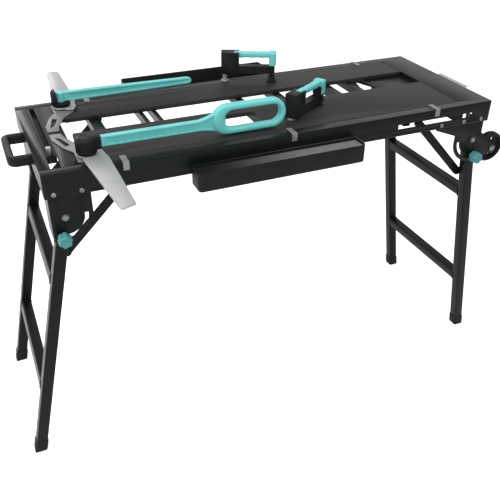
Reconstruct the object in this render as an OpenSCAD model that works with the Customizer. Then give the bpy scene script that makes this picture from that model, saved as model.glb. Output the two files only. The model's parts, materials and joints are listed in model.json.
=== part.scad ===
// Folding workbench with a slotted two-panel top, folding leg frames, swinging jaw arms and post clamps.
// X runs along the bench from the carry-handle end to the wheel end, Y from front to back, Z up.
// The origin is on the floor, under the middle of the whole object's box.

/* [Top] */
// Length of the top frame
top_l = 1260; // [1150:10:1400]
// Width of the top frame
top_w = 454; // [440:2:520]
// Height of the working surface
top_h = 850; // [800:5:920]
// Thickness of the work panels
panel_t = 12; // [8:1:16]
// Front edge of the central slot, measured from the front
slot_front = 213; // [200:1:225]
// Clear width of the central slot
slot_w = 102; // [70:1:115]
// Length of the closed stretch at the right end of the slot
slot_closed = 135; // [80:5:160]

/* [Side rails and end beams] */
// Height of the side rails
rail_h = 60; // [52:1:72]
// Wall of the rails and beams
rail_wall = 2.5; // [1.5:0.5:3]
// Width of the rails' top flange
rail_flange = 26; // [22:1:30]
// Width of the rails' bottom lip
rail_lip = 12; // [8:1:20]
// Width of the end beams
beam_w = 95; // [85:1:105]
// Width of the track slot in the left beam
track_w = 25; // [20:1:30]
// Distance of the track slot from the left end
track_inset = 28; // [20:1:36]
// Length of the slit in the rails near the wheels
slit_l = 250; // [150:10:300]
// Height of that slit
slit_h = 13; // [8:1:14]

/* [Cross members] */
// Height of the cross members
member_h = 23; // [18:1:26]
// Wall of the cross members
member_wall = 1.5; // [1:0.5:2.5]

/* [Legs] */
// Side of the square leg tube
post = 30; // [25:1:32]
// Wall of the leg tube
post_wall = 2; // [1.5:0.5:3]
// Pivot of the legs, measured from the end of the top
pivot_inset = 40; // [36:1:50]
// Pivot of the legs, measured down from the working surface
pivot_drop = 115; // [112:1:130]
// Outward lean of the left legs
splay_left = 13; // [9:0.5:14]
// Outward lean of the right legs
splay_right = 9; // [6:0.5:12]
// Tube above the pivot
post_over = 20; // [17:1:26]
// Upper cross bar, measured down the leg from the pivot
upper_bar_at = 190; // [180:5:230]
// Lower cross bar, measured down the leg from the pivot
lower_bar_at = 530; // [430:5:600]
// Height of the feet
foot_h = 40; // [30:1:60]

/* [Struts] */
// Width of the strut bars
strut_w = 24; // [18:1:26]
// Thickness of the strut bars
strut_t = 5; // [4:0.5:6]
// Strut rivet, measured down the leg from the pivot
lug_down = 115; // [105:1:125]
// Strut rivet, measured inward from the middle of the leg
lug_in = 20; // [18:1:24]
// Upper end of the strut, measured inward from the leg pivot
strut_reach = 175; // [165:1:185]
// Upper end of the strut, measured down from the working surface
strut_drop = 50; // [48:1:56]

/* [Brackets, knobs and wheels] */
// Thickness of the bracket plates
plate_t = 3; // [2:0.5:4]
// Locking knob, measured down from the leg pivot
knob_down = 50; // [46:1:56]
// Radius of the knob's grip
knob_r = 17; // [12:1:20]
// Radius of the wheels
wheel_r = 46; // [36:1:50]
// Width of the wheels
wheel_w = 24; // [18:1:28]
// Wheel axle, measured outward from the leg pivot
wheel_out = 81; // [79:1:95]
// Wheel axle, measured down from the leg pivot
wheel_down = 40; // [30:1:55]

/* [Trays and handle] */
// Length of the tool trays
tray_l = 462; // [300:2:560]
// Left end of the front tray, measured from the left end
tray_at = 352; // [300:2:420]
// Depth of the front tray
tray_d = 54; // [40:1:90]
// Height of the front tray with its apron
tray_h = 51; // [40:1:80]
// Left end of the back tray, measured from the left end
back_tray_at = 328; // [300:2:420]
// Depth of the back tray
back_tray_d = 130; // [60:1:150]
// Height of the back tray
back_tray_h = 62; // [45:1:80]
// Wall of the trays
tray_wall = 2; // [1.5:0.5:3]
// Reach of the carry handle
handle_out = 56; // [45:1:75]
// Distance between the handle's arms
handle_w = 140; // [110:5:170]
// Thickness of the handle
handle_t = 18; // [14:1:22]

/* [Jaw arms] */
// Jaw pivot, measured from the left end
jaw_x = 118; // [112:1:130]
// Jaw pivot, measured from the long side of the top
jaw_in = 62; // [55:1:67]
// Length of the blades from the pivot
blade_l = 290; // [240:5:330]
// Width of the blades near the hub
blade_w = 58; // [50:1:62]
// Width of the blades at the tip
blade_tip = 35; // [22:1:45]
// Thickness of the blades at their edges
blade_t = 4; // [3:0.5:5]
// Height of the ridge along the blades
blade_ridge = 4; // [2:0.5:5]
// Radius of the hubs
hub_r = 25; // [22:1:28]
// Height of the hubs
hub_h = 42; // [38:1:46]
// Length of the front lever, from the pivot to the end of its grip
lever_l = 512; // [460:2:540]
// Length of the back lever from the pivot
back_lever_l = 372; // [300:2:400]
// Height of the lever bars
lever_h = 26; // [20:1:30]
// Thickness of the lever bars
lever_t = 14; // [10:1:18]
// Length of the closed grip
grip_l = 200; // [170:2:220]
// Height of the closed grip
grip_h = 77; // [70:1:84]
// Thickness of the closed grip
grip_t = 24; // [18:1:28]

/* [Post clamps] */
// Radius of the clamp posts
clamp_post_r = 7; // [5:0.5:8]
// Reach of the clamp arms, from the post to the pad
clamp_reach = 141; // [125:1:145]
// Lift of the rear clamp's arm above its lowest place
rear_lift = 20; // [0:1:24]

/* [Fits] */
// Radial clearance of turning pins
pin_gap = 0.08; // [0.05:0.01:0.1]
// Gap between parts that move past each other
move_gap = 0.5; // [0.3:0.1:0.8]

/* [Hidden] */
$fn = 64;

LEFT = -1;
RIGHT = 1;
FRONT = -1;
BACK = 1;
frame_black = [0.13, 0.14, 0.14];
panel_black = [0.2, 0.2, 0.21];
plastic_black = [0.06, 0.06, 0.06];
teal = [0.3, 0.68, 0.67];
bright_steel = [0.82, 0.82, 0.83];
zinc = [0.62, 0.64, 0.64];
cut = 1; // how far a cutting shape runs past the face it cuts

// Heights of the frame
rail_bottom = top_h - rail_h;
panel_bottom = top_h - panel_t;
member_bottom = panel_bottom - member_h;
pivot_z = top_h - pivot_drop;
strip_t = 2.5;
strip_bottom = member_bottom - strip_t;

// Reach of each end past the top, for the place of the origin
function splay(side) = side == LEFT ? splay_left : splay_right;
foot_half = post / 2 + 2;
function foot_out(side) = pivot_z * tan(splay(side)) + foot_half / cos(splay(side)) - pivot_inset;
wheel_reach = wheel_out + wheel_r - pivot_inset;
left_reach = max(foot_out(LEFT), handle_out);
right_reach = max(foot_out(RIGHT), wheel_reach);
left_end = (left_reach - right_reach - top_l) / 2;
right_end = left_end + top_l;
front_face = -top_w / 2;
rail_inner = top_w / 2 - rail_wall;

function end_x(side) = side == LEFT ? left_end : right_end;
function pivot_x(side) = end_x(side) - side * pivot_inset;

// Slot and panels
slot_y0 = front_face + slot_front;
slot_y1 = slot_y0 + slot_w;
panel_gap = 0.5;
panel_x0 = left_end + beam_w + panel_gap;
panel_x1 = right_end - beam_w - panel_gap;
panel_out = top_w / 2 - rail_flange - panel_gap;
opening_x0 = left_end + 0.3873 * top_l;
opening_l = 107;
opening_d = 105;
opening_behind = 31; // panel left between the hand opening and the slot
opening_r = 14;
corner_l = 16; // notch in the panels' corners beside the slot
corner_d = 84;

// Cross members: middle as a share of the top's length, and width
members = [[0.1492, 30], [0.2516, 12], [0.281, 12], [0.4833, 20], [0.577, 25], [0.7127, 25],
           [0.7754, 20]];
strip_w = 20;
strip_l = 232;
strip_y = 186; // middle of the struts' guide strips

// Leg planes
bracket_y = rail_inner - plate_t; // inner face of the bracket plates
post_outer = bracket_y - move_gap;
post_inner = post_outer - post;
post_mid = post_outer - post / 2;
lug_t = 3;
strut_outer = post_inner - lug_t - move_gap;
pivot_r = 5;
rivet_r = 4;
function leg_len(side) = pivot_z / cos(splay(side)); // pivot to floor, along the leg

// The left legs fold up level, and the right ones stop a little lower, so that they stack under the left
stack_drop = 5.5;
function fold_angle(side) = 90 + splay(side) - (side == RIGHT ? stack_drop : 0);

// Places of the strut rivet and of the strut's upper end, with X counted inward from the leg pivot
function lug_pos(side) = [-lug_down * sin(splay(side)) + lug_in * cos(splay(side)),
                          -lug_down * cos(splay(side)) - lug_in * sin(splay(side))];
strut_end = [strut_reach, pivot_drop - strut_drop];

// Bracket plates, counted inward and up from the leg pivot
bracket_top = pivot_drop - rail_h + 16;
bracket_low = knob_down + 12;
bracket_r = knob_down + 16;
gusset_l = 138;
gusset_end = 22; // heights of the right brackets' long arm at its end and at its root
gusset_root = 50;
wheel_arm_r = 17; // disc round the wheel axle
wheel_arm_end = 14;
wheel_arm_top = 20;
lip_inset = pivot_inset + bracket_r + 1; // the rails' lip starts past the left bracket's plate
lip_end = pivot_inset + gusset_l + 1; // and ends before the right bracket's arm
bolt_r = 3;
rail_bolt_z = rail_bottom + 9;
// Places of the bracket's bolts, inward from the leg pivot
function bracket_bolts(side) = side == LEFT ? [-18, 46] : [-14, 46, 124];
stop_gap = 1;
function stop_at(side) = bracket_low * tan(splay(side)) + post / 2 / cos(splay(side)) + stop_gap;
flange_d = 75;
axle_r = 5;
wheel_outer = bracket_y - 1;
knob_stud_r = 4;
slot_gap = 0.4; // room round the stud in the bracket's arc slot
knob_h = 34;
slit_top = top_h - 27;
slit_end = 62; // from the right end to the slit

// Trays
tray_top = top_h - 38;
tray_recess = 8; // depth of the front tray's pocket
back_tray_top = top_h - 3;
tray_round = 12;

// Jaw stack, from the working surface up
jaw_y = top_w / 2 - jaw_in;
mount_t = 3;
washer_h = 2.5;
jaw_gap = 0.5;
blade_z = top_h + mount_t + washer_h + jaw_gap;
hub_z = blade_z + blade_t;
lever_mid = top_h + 35;
jaw_bolt_r = 6;
jaw_bolt_top = hub_z + hub_h - 10;
bolt_head_r = 10;
bolt_head_h = 6;
socket_l = 34;
socket_w = 24;
tongue = 18;
eye_r = 12;

// Strip on the right end, with its upright leg's bolts and the holes in its ledge
end_strip_l = 130;
end_strip_y = 26 - end_strip_l;
end_strip_h = 26;
end_strip_t = 2.5;
ledge = 15;
ledge_hole_r = 3.5;
ledge_hole_in = 36;
end_bolts = [end_strip_y + 16, end_strip_y + end_strip_l - 16];
end_bolt_z = top_h - 16;

// Track
track_x = left_end + track_inset + track_w / 2;
track_back = top_w / 2 - rail_flange - 4;
track_window = 66; // length of the open window at the front end of the track
track_front = -track_back;
insert_front = track_front + track_window;
track_groove = 12;
track_depth = 16;

// Clamps: place of the post, turn of the arm, lift
socket_r = clamp_post_r + 3.5;
rear_clamp = [left_end + 0.4881 * top_l, top_w / 2 - rail_wall - socket_r - 1];
rear_turn = -24;
slot_clamp = [left_end + 0.5278 * top_l, front_face + 89];
slot_turn = 32;
socket_depth = panel_t - 1;
collar_h = 4;
clamp_w = 32;
block_back = 10; // block behind the post's middle
block_front = 43; // block in front of it
block_low = 6;
block_top = 70;
ear_t = 5.5;
fork_back = 25;
clamp_lever_h = 17;
clamp_pin = [34, block_top - clamp_lever_h / 2];
clamp_pin_r = 3;
fork_floor = block_top - clamp_lever_h - move_gap;
clamp_bar_low = 7;
clamp_bar_top = 29;
far_post_low = 8;
far_post_top = block_top - clamp_lever_h - 0.3;
far_post_l = 17;
pad_stem_r = 5;
pad_stem_in = 30;
post_top = 46;
bore_top = fork_floor - 5;

// A square tube along X, with its wall
module tube_x(l, h, w, wall) {
    difference() {
        cube([l, w, h]);
        translate([-cut, wall, wall]) cube([l + 2 * cut, w - 2 * wall, h - 2 * wall]);
    }
}

// A pin along Y from y0 to y1
module pin_y(r, y0, y1) {
    translate([0, y0, 0]) rotate([-90, 0, 0]) cylinder(r = r, h = y1 - y0);
}

// A slab in the XZ plane, from y0 to y1, from a flat outline
module slab_y(y0, y1) {
    translate([0, y1, 0]) rotate([90, 0, 0]) linear_extrude(y1 - y0) children();
}

// A flat bar with round ends between two points
module bar_outline(a, b, w) {
    d = b - a;
    translate(a) circle(r = w / 2);
    translate(b) circle(r = w / 2);
    translate(a) rotate(atan2(d.y, d.x)) translate([0, -w / 2]) square([norm(d), w]);
}

// A rectangle with round corners, from its lower left corner
module round_rect(size, r) {
    translate([r, 0]) square([size.x - 2 * r, size.y]);
    translate([0, r]) square([size.x, size.y - 2 * r]);
    for (x = [r, size.x - r], y = [r, size.y - r]) translate([x, y]) circle(r = r);
}

// Front or back copy of something drawn at the back (positive Y)
module on_side(row) {
    if (row == BACK) children();
    else mirror([0, 1, 0]) children();
}

// Something drawn at a leg pivot, with X counted inward and Z up
module at_pivot(side) {
    translate([pivot_x(side), 0, pivot_z])
        if (side == LEFT) children();
        else mirror([1, 0, 0]) children();
}

// Something drawn along a leg: origin on the pivot, the leg running down -Z, X inward
module along_leg(side) {
    at_pivot(side) rotate([0, splay(side), 0]) children();
}

module side_rail(row) {
    color(frame_black) on_side(row) difference() {
        union() {
            translate([left_end, rail_inner, rail_bottom]) cube([top_l, rail_wall, rail_h]);
            translate([left_end, top_w / 2 - rail_flange, top_h - rail_wall])
                cube([top_l, rail_flange, rail_wall]);
            translate([left_end + lip_inset, top_w / 2 - rail_lip, rail_bottom])
                cube([top_l - lip_inset - lip_end, rail_lip, rail_wall]);
            if (row == BACK)
                translate([rear_clamp.x, rear_clamp.y, top_h - socket_depth])
                    cylinder(r = socket_r, h = socket_depth);
        }
        translate([right_end - slit_end - slit_l, rail_inner - cut, slit_top - slit_h])
            cube([slit_l, rail_wall + 2 * cut, slit_h]);
        if (row == BACK)
            translate([rear_clamp.x, rear_clamp.y, top_h - socket_depth - cut])
                cylinder(r = clamp_post_r + pin_gap, h = socket_depth + 2 * cut);
        for (s = [LEFT, RIGHT], b = bracket_bolts(s)) translate([pivot_x(s) - s * b, 0, rail_bolt_z])
            pin_y(bolt_r, rail_inner - cut, top_w / 2 + cut);
    }
}

// A folded end beam between the rails, open underneath
module end_beam(side) {
    w = 2 * rail_inner;
    translate([side == LEFT ? left_end : right_end - beam_w, -w / 2, rail_bottom]) difference() {
        cube([beam_w, w, rail_h - rail_wall]);
        translate([rail_wall, -cut, -cut])
            cube([beam_w - 2 * rail_wall, w + 2 * cut, rail_h - 2 * rail_wall + cut]);
        for (y = [-cut, w - plate_t])
            translate([-cut, y, -cut])
                cube([beam_w + 2 * cut, plate_t + cut, pivot_z + bracket_top - rail_bottom + 0.3 + cut]);
    }
}

// The beams lie under the rails' top flange, and a raised cover brings them flush between the flanges
module beam_cover(side) {
    w = top_w - 2 * rail_flange - 2 * panel_gap;
    translate([side == LEFT ? left_end : right_end - beam_w, -w / 2, top_h - 2 * rail_wall])
        cube([beam_w, w, 2 * rail_wall]);
}

module left_end_beam() {
    color(frame_black) difference() {
        union() {
            end_beam(LEFT);
            beam_cover(LEFT);
        }
        translate([track_x - track_w / 2, track_front, rail_bottom - cut])
            cube([track_w, track_back - track_front, rail_h + 2 * cut]);
    }
}

module right_end_beam() {
    color(frame_black) difference() {
        union() {
            end_beam(RIGHT);
            beam_cover(RIGHT);
        }
        for (y = end_bolts) translate([right_end - rail_wall - cut, y, end_bolt_z]) rotate([0, 90, 0])
            cylinder(r = bolt_r, h = rail_wall + 2 * cut);
    }
}

// A moulded channel that fills the back part of the track slot and guides the stop bolt
module end_track_insert() {
    color(plastic_black)
    translate([track_x - track_w / 2, insert_front, top_h - track_depth - rail_wall]) difference() {
        cube([track_w, track_back - insert_front, track_depth + rail_wall]);
        translate([(track_w - track_groove) / 2, -cut, rail_wall])
            cube([track_groove, track_back - insert_front - rail_wall + cut, track_depth + cut]);
    }
}

module cross_members() {
    color(frame_black) for (m = members)
        translate([left_end + m[0] * top_l - m[1] / 2, rail_inner, member_bottom]) rotate([0, 0, -90])
            tube_x(2 * rail_inner, member_h, m[1], member_wall);
}

// Flat strips under the cross members that the struts' upper ends bear on
module strut_guides() {
    color(frame_black) for (s = [LEFT, RIGHT], row = [FRONT, BACK]) on_side(row) at_pivot(s)
        translate([strut_reach - 22, strip_y - strip_w / 2, strip_bottom - pivot_z])
            cube([strip_l, strip_w, strip_t]);
}

module front_work_panel() {
    color(panel_black) difference() {
        translate([panel_x0, -panel_out, panel_bottom])
            cube([panel_x1 - panel_x0, slot_y0 + panel_out, panel_t]);
        translate([opening_x0, slot_y0 - opening_behind - opening_d, panel_bottom - cut])
            linear_extrude(panel_t + 2 * cut) round_rect([opening_l, opening_d], opening_r);
        translate([panel_x0 - cut, slot_y0 - corner_d, panel_bottom - cut])
            cube([corner_l + cut, corner_d + cut, panel_t + 2 * cut]);
        jaw_hole(FRONT);
        translate([slot_clamp.x, slot_clamp.y, panel_bottom - cut])
            cylinder(r = clamp_post_r + pin_gap, h = panel_t + 2 * cut);
    }
}

module back_work_panel() {
    color(panel_black) difference() {
        translate([panel_x0, slot_y1, panel_bottom])
            cube([panel_x1 - panel_x0, panel_out - slot_y1, panel_t]);
        translate([panel_x0 - cut, slot_y1 - cut, panel_bottom - cut])
            cube([corner_l + cut, corner_d / 3 + cut, panel_t + 2 * cut]);
        jaw_hole(BACK);
    }
}

module jaw_hole(row) {
    translate([left_end + jaw_x, row * jaw_y, panel_bottom - cut])
        cylinder(r = jaw_bolt_r + pin_gap, h = panel_t + 2 * cut);
}

module slot_floor_plate() {
    overlap = 25;
    color(frame_black) translate([panel_x1 - slot_closed, slot_y0 - overlap, panel_bottom - rail_wall])
        cube([slot_closed, slot_w + 2 * overlap, rail_wall]);
}

// A shallow tray over a deep rounded apron, hollow behind and hung against the front rail
module front_tool_tray() {
    color(plastic_black) on_side(FRONT)
    translate([left_end + tray_at, top_w / 2, tray_top - tray_h]) difference() {
        tray_block(tray_l, tray_d, tray_h, tray_round);
        translate([tray_wall, tray_wall, tray_h - tray_recess])
            cube([tray_l - 2 * tray_wall, tray_d - 2 * tray_wall, tray_recess + cut]);
        translate([tray_wall, -tray_wall, tray_wall])
            tray_block(tray_l - 2 * tray_wall, tray_d, tray_h - tray_recess - 2 * tray_wall,
                       tray_round - tray_wall);
    }
}

// A deep open tray against the back rail, its rim just under the working surface
module back_tool_tray() {
    color(plastic_black)
    translate([left_end + back_tray_at, top_w / 2, back_tray_top - back_tray_h]) difference() {
        tray_block(tray_l, back_tray_d, back_tray_h, tray_round);
        translate([tray_wall, tray_wall, tray_wall])
            tray_block(tray_l - 2 * tray_wall, back_tray_d - 2 * tray_wall, back_tray_h,
                       tray_round - tray_wall);
    }
}

// A block along X whose lower outer edge is round
module tray_block(l, d, h, r) {
    rotate([90, 0, 90]) linear_extrude(l) {
        translate([0, r]) square([d, h - r]);
        square([d - r, h]);
        translate([d - r, r]) circle(r = r);
    }
}

module carry_handle() {
    inner = handle_out - handle_t;
    color(plastic_black) translate([left_end, 0, top_h - 39]) mirror([1, 0, 0]) linear_extrude(handle_t)
    difference() {
        translate([-handle_t, -handle_w / 2 - handle_t / 2])
            intersection() {
                round_rect([handle_out + handle_t, handle_w + handle_t], handle_t);
                translate([handle_t, 0]) square([handle_out, handle_w + handle_t]);
            }
        translate([-handle_t, -handle_w / 2 + handle_t / 2])
            round_rect([inner + handle_t, handle_w - handle_t], handle_t / 2);
    }
}

// A bracket: side plate inside the rail with a quadrant round the leg pivot and an arc slot that the
// knob's stud runs in, and an end flange that the leg leans on
module leg_bracket(side, row) {
    out = stop_at(side) + plate_t;
    color(frame_black) on_side(row) at_pivot(side) difference() {
        union() {
            slab_y(bracket_y, rail_inner) {
                translate([-out, -bracket_low]) square([out, bracket_low + bracket_top]);
                square([bracket_r, bracket_top]);
                intersection() {
                    circle(r = bracket_r);
                    translate([-cut, -bracket_r - cut]) square([bracket_r + 2 * cut, bracket_r + cut]);
                }
                if (side == RIGHT) {
                    polygon([[bracket_r - cut, bracket_top], [gusset_l, bracket_top],
                             [gusset_l, bracket_top - gusset_end],
                             [bracket_r - cut, bracket_top - gusset_root]]);
                    polygon([[-out + cut, wheel_arm_top], [-out + cut, -bracket_low + cut],
                             [-wheel_out, -wheel_down - wheel_arm_end],
                             [-wheel_out, -wheel_down + wheel_arm_end]]);
                    translate([-wheel_out, -wheel_down]) circle(r = wheel_arm_r);
                }
            }
            translate([-out, rail_inner - flange_d, -bracket_low])
                cube([plate_t, flange_d, bracket_low + pivot_drop - rail_h]);
        }
        pin_y(pivot_r, bracket_y - cut, rail_inner + cut);
        knob_slot(side);
        if (side == RIGHT)
            translate([-wheel_out, 0, -wheel_down]) pin_y(axle_r, bracket_y - cut, rail_inner + cut);
        for (b = bracket_bolts(side))
            translate([b, 0, rail_bolt_z - pivot_z]) pin_y(bolt_r, bracket_y - cut, rail_inner + cut);
    }
}

// The arc slot: it opens the plate along the knob stud's way from the standing leg to the folded one
module knob_slot(side) {
    w = 2 * (knob_stud_r + slot_gap);
    past = asin((knob_stud_r + slot_gap) / knob_down);
    translate([0, rail_inner + cut, 0]) rotate([90, 0, 0]) rotate([0, 0, -90 - splay(side) - past])
        rotate_extrude(angle = fold_angle(side) + 2 * past)
            translate([knob_down - w / 2, 0]) square([w, plate_t + 2 * cut]);
}

// Bolts along Y at the four leg pivots, with a head outside the bracket and a nut inside the tube,
// and the two upright bolts that the jaw arms turn on
module pivot_bolts() {
    head_r = 8.5;
    head_h = 5;
    nut_r = 9;
    nut_h = 6;
    nut_gap = 1; // washer between the nut and the tube
    color(zinc) for (row = [FRONT, BACK]) {
        for (s = [LEFT, RIGHT]) on_side(row) at_pivot(s) {
            pin_y(pivot_r, post_inner - nut_gap, rail_inner);
            pin_y(head_r, rail_inner, rail_inner + head_h);
            rotate([0, 30, 0]) translate([0, post_inner - nut_gap - nut_h, 0]) rotate([-90, 0, 0])
                cylinder(r = nut_r, h = nut_h, $fn = 6);
        }
        translate([left_end + jaw_x, row * jaw_y, 0]) {
            translate([0, 0, panel_bottom]) cylinder(r = jaw_bolt_r, h = jaw_bolt_top - panel_bottom);
            translate([0, 0, panel_bottom - bolt_head_h])
                cylinder(r = bolt_head_r, h = bolt_head_h, $fn = 6);
        }
    }
}

// Bolts that hold the brackets on the rails, with low round heads on the rail's face, and two that
// hold the end strip
module frame_bolts() {
    head_r = 6;
    head_h = 3;
    past = 4; // thread past the inner face
    color(zinc) {
        for (s = [LEFT, RIGHT], row = [FRONT, BACK], b = bracket_bolts(s))
            on_side(row) translate([pivot_x(s) - s * b, 0, rail_bolt_z]) {
                pin_y(bolt_r, bracket_y - past, top_w / 2);
                pin_y(head_r, top_w / 2, top_w / 2 + head_h);
            }
        for (y = end_bolts) translate([right_end, y, end_bolt_z]) rotate([0, 90, 0]) {
            translate([0, 0, -rail_wall - past]) cylinder(r = bolt_r, h = rail_wall + past + end_strip_t);
            translate([0, 0, end_strip_t]) cylinder(r = head_r, h = head_h);
        }
    }
}

// Bent clips over the rails' top edge that hold the panels down
module rail_clips() {
    clip_w = 15;
    clip_drop = 20;
    clip_over = 37;
    clip_t = 1.5;
    near_ends = [0.154, 0.8516]; // shares of the top's length
    places = [for (row = [FRONT, BACK], at = near_ends) [at, row]];
    color(bright_steel) for (c = concat(places, [[0.5, FRONT]]))
        on_side(c[1]) translate([left_end + c[0] * top_l - clip_w / 2, 0, 0]) {
            translate([0, top_w / 2 - clip_over, top_h]) cube([clip_w, clip_over + clip_t, clip_t]);
            translate([0, top_w / 2, top_h - clip_drop]) cube([clip_w, clip_t, clip_drop]);
        }
}

module wheel_axles() {
    nut_r = 9;
    cap_r = 8;
    head_h = 5;
    wheel_inner = wheel_outer - wheel_w;
    color(zinc) for (row = [FRONT, BACK]) on_side(row) at_pivot(RIGHT)
        translate([-wheel_out, 0, -wheel_down]) {
            pin_y(axle_r, wheel_inner - head_h, rail_inner);
            pin_y(nut_r, rail_inner, rail_inner + head_h);
            pin_y(cap_r, wheel_inner - 1 - head_h, wheel_inner - 1);
        }
}

// Bright mount plates of the jaw arms, with a round washer face under each hub
module jaw_mount_plates() {
    inner = jaw_y - 155;
    outer = jaw_y + 26;
    x0 = track_inset + track_w + 3;
    x1 = jaw_x + 26;
    color(bright_steel) for (row = [FRONT, BACK]) on_side(row) difference() {
        union() {
            translate([left_end, 0, top_h]) linear_extrude(mount_t)
                polygon([[x0, inner], [x0 + 28, inner], [x0 + 32, inner + 26], [x1 - 34, jaw_y - 73],
                         [x1, jaw_y - 34], [x1, outer], [x0 + 36, outer], [x0 + 36, jaw_y - 33],
                         [x0 + 18, jaw_y - 64], [x0, inner + 36]]);
            translate([left_end + jaw_x, jaw_y, top_h]) cylinder(r = 17, h = mount_t + washer_h);
        }
        translate([left_end, 0, top_h - cut]) linear_extrude(mount_t + 2 * cut)
            polygon([[x0 + 9, inner + 22], [x0 + 21, inner + 30],
                     [x0 + 37, jaw_y - 76], [x0 + 25, jaw_y - 70]]);
        translate([left_end + jaw_x, jaw_y, top_h - cut])
            cylinder(r = jaw_bolt_r, h = mount_t + washer_h + 2 * cut);
    }
}

// A bright angle strip on the right end, level with the top
module right_end_strip() {
    color(bright_steel) difference() {
        union() {
            translate([right_end, end_strip_y, top_h - end_strip_h])
                cube([end_strip_t, end_strip_l, end_strip_h]);
            translate([right_end, end_strip_y, top_h - end_strip_t])
                cube([ledge, end_strip_l, end_strip_t]);
        }
        for (y = end_bolts) translate([right_end - cut, y, end_bolt_z]) rotate([0, 90, 0])
            cylinder(r = bolt_r, h = end_strip_t + 2 * cut);
        for (y = [ledge_hole_in, end_strip_l - ledge_hole_in])
            translate([right_end + ledge / 2 + 1, end_strip_y + y, top_h - end_strip_t - cut])
                cylinder(r = ledge_hole_r, h = end_strip_t + 2 * cut);
    }
}

// One leg post: square tube with the pivot bore and the strut lug
module leg_post(side, row) {
    l = post_over + leg_len(side) - foot_h / 2;
    color(frame_black) on_side(row) along_leg(side) difference() {
        union() {
            difference() {
                translate([-post / 2, post_inner, post_over - l]) cube([post, post, l]);
                translate([-post / 2 + post_wall, post_inner + post_wall, post_over - l - cut])
                    cube([post - 2 * post_wall, post - 2 * post_wall, l + 2 * cut]);
            }
            translate([0, 0, -lug_down]) slab_y(post_inner - lug_t, post_inner) {
                bar_outline([0, 0], [lug_in, 0], strut_w);
            }
        }
        pin_y(pivot_r + pin_gap, post_inner - cut, post_outer + cut);
        translate([0, 0, -knob_down]) pin_y(knob_stud_r + pin_gap, post_mid, post_outer + cut);
        translate([lug_in, 0, -lug_down]) pin_y(rivet_r, post_inner - lug_t - cut, post_inner + cut);
    }
}

module leg_bar(side, at) {
    color(frame_black) along_leg(side)
        translate([post / 2, -post_inner, -at - post / 2]) rotate([0, 0, 90])
            tube_x(2 * post_inner, post, post, post_wall);
}

// Moulded feet around the tube ends, cut level with the floor
module leg_feet(side) {
    tube_end = leg_len(side) - foot_h / 2;
    color(plastic_black) for (row = [FRONT, BACK]) on_side(row) difference() {
        along_leg(side) difference() {
            translate([-foot_half, post_mid - foot_half, -leg_len(side) - foot_h / 2])
                cube([2 * foot_half, 2 * foot_half, foot_h * 1.4]);
            translate([-post / 2, post_inner, -tube_end]) cube([post, post, foot_h]);
        }
        translate([pivot_x(side) - top_l / 2, 0, -2 * foot_h]) cube([top_l, top_w, 2 * foot_h]);
    }
}

module leg_rivets(side) {
    color(zinc) for (row = [FRONT, BACK]) on_side(row) along_leg(side)
        translate([lug_in, 0, -lug_down]) {
            pin_y(rivet_r, strut_outer - strut_t - 1, post_inner);
            pin_y(7, strut_outer - strut_t - 3, strut_outer - strut_t - move_gap);
        }
}

// A flat strut from the leg's rivet to the rail, with a bearing pin at its upper end
module strut(side, row) {
    a = lug_pos(side);
    color(frame_black) on_side(row) at_pivot(side) {
        difference() {
            slab_y(strut_outer - strut_t, strut_outer) bar_outline(a, strut_end, strut_w);
            translate([a.x, 0, a.y])
                pin_y(rivet_r + pin_gap, strut_outer - strut_t - cut, strut_outer + cut);
        }
        translate([strut_end.x, 0, strut_end.y]) pin_y(7, strut_outer - strut_t - 4, strut_outer + 4);
    }
}

// A lobed locking knob whose stud passes the bracket's arc slot and turns in the leg's outer wall
module leg_knob(side, row) {
    lobes = 6;
    color(teal) on_side(row) along_leg(side) translate([0, 0, -knob_down]) {
        pin_y(knob_stud_r, post_mid + 4, rail_inner + move_gap + 2);
        pin_y(9, rail_inner + move_gap, rail_inner + 6);
        difference() {
            pin_y(knob_r, rail_inner + 6, rail_inner + knob_h);
            for (i = [0:lobes - 1]) rotate([0, i * 360 / lobes, 0])
                translate([knob_r + 2.5, 0, 0]) pin_y(5.5, rail_inner + 10, rail_inner + knob_h + cut);
        }
    }
}

// A moulded wheel: round-shouldered tread, recessed web with openings, and a hub on the axle
module transport_wheel(row) {
    shoulder = 4;
    openings = 5;
    half = wheel_w / 2;
    color(plastic_black) on_side(row) at_pivot(RIGHT)
        translate([-wheel_out, wheel_outer - half, -wheel_down]) rotate([90, 0, 0]) difference() {
            rotate_extrude($fn = 96) {
                translate([axle_r + pin_gap, -half]) square([9, wheel_w]);
                translate([axle_r, -3]) square([wheel_r - axle_r - 6, 6]);
                translate([wheel_r - 10, -half]) square([10 - shoulder, wheel_w]);
                translate([wheel_r - 10, -half + shoulder]) square([10, wheel_w - 2 * shoulder]);
                for (z = [-half + shoulder, half - shoulder])
                    translate([wheel_r - shoulder, z]) circle(r = shoulder, $fn = 32);
            }
            for (i = [0:openings - 1]) rotate(i * 360 / openings) translate([25, 0, -half])
                cylinder(r = 6.5, h = wheel_w);
            translate([0, 0, -wheel_w]) cylinder(r = axle_r + pin_gap, h = 2 * wheel_w);
        }
}

// Jaw parts are drawn at the front, around their pivot, with Y growing away from the bench
module at_jaw(row) {
    translate([left_end + jaw_x, row * jaw_y, 0])
        if (row == BACK) children();
        else mirror([0, 1, 0]) children();
}

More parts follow.
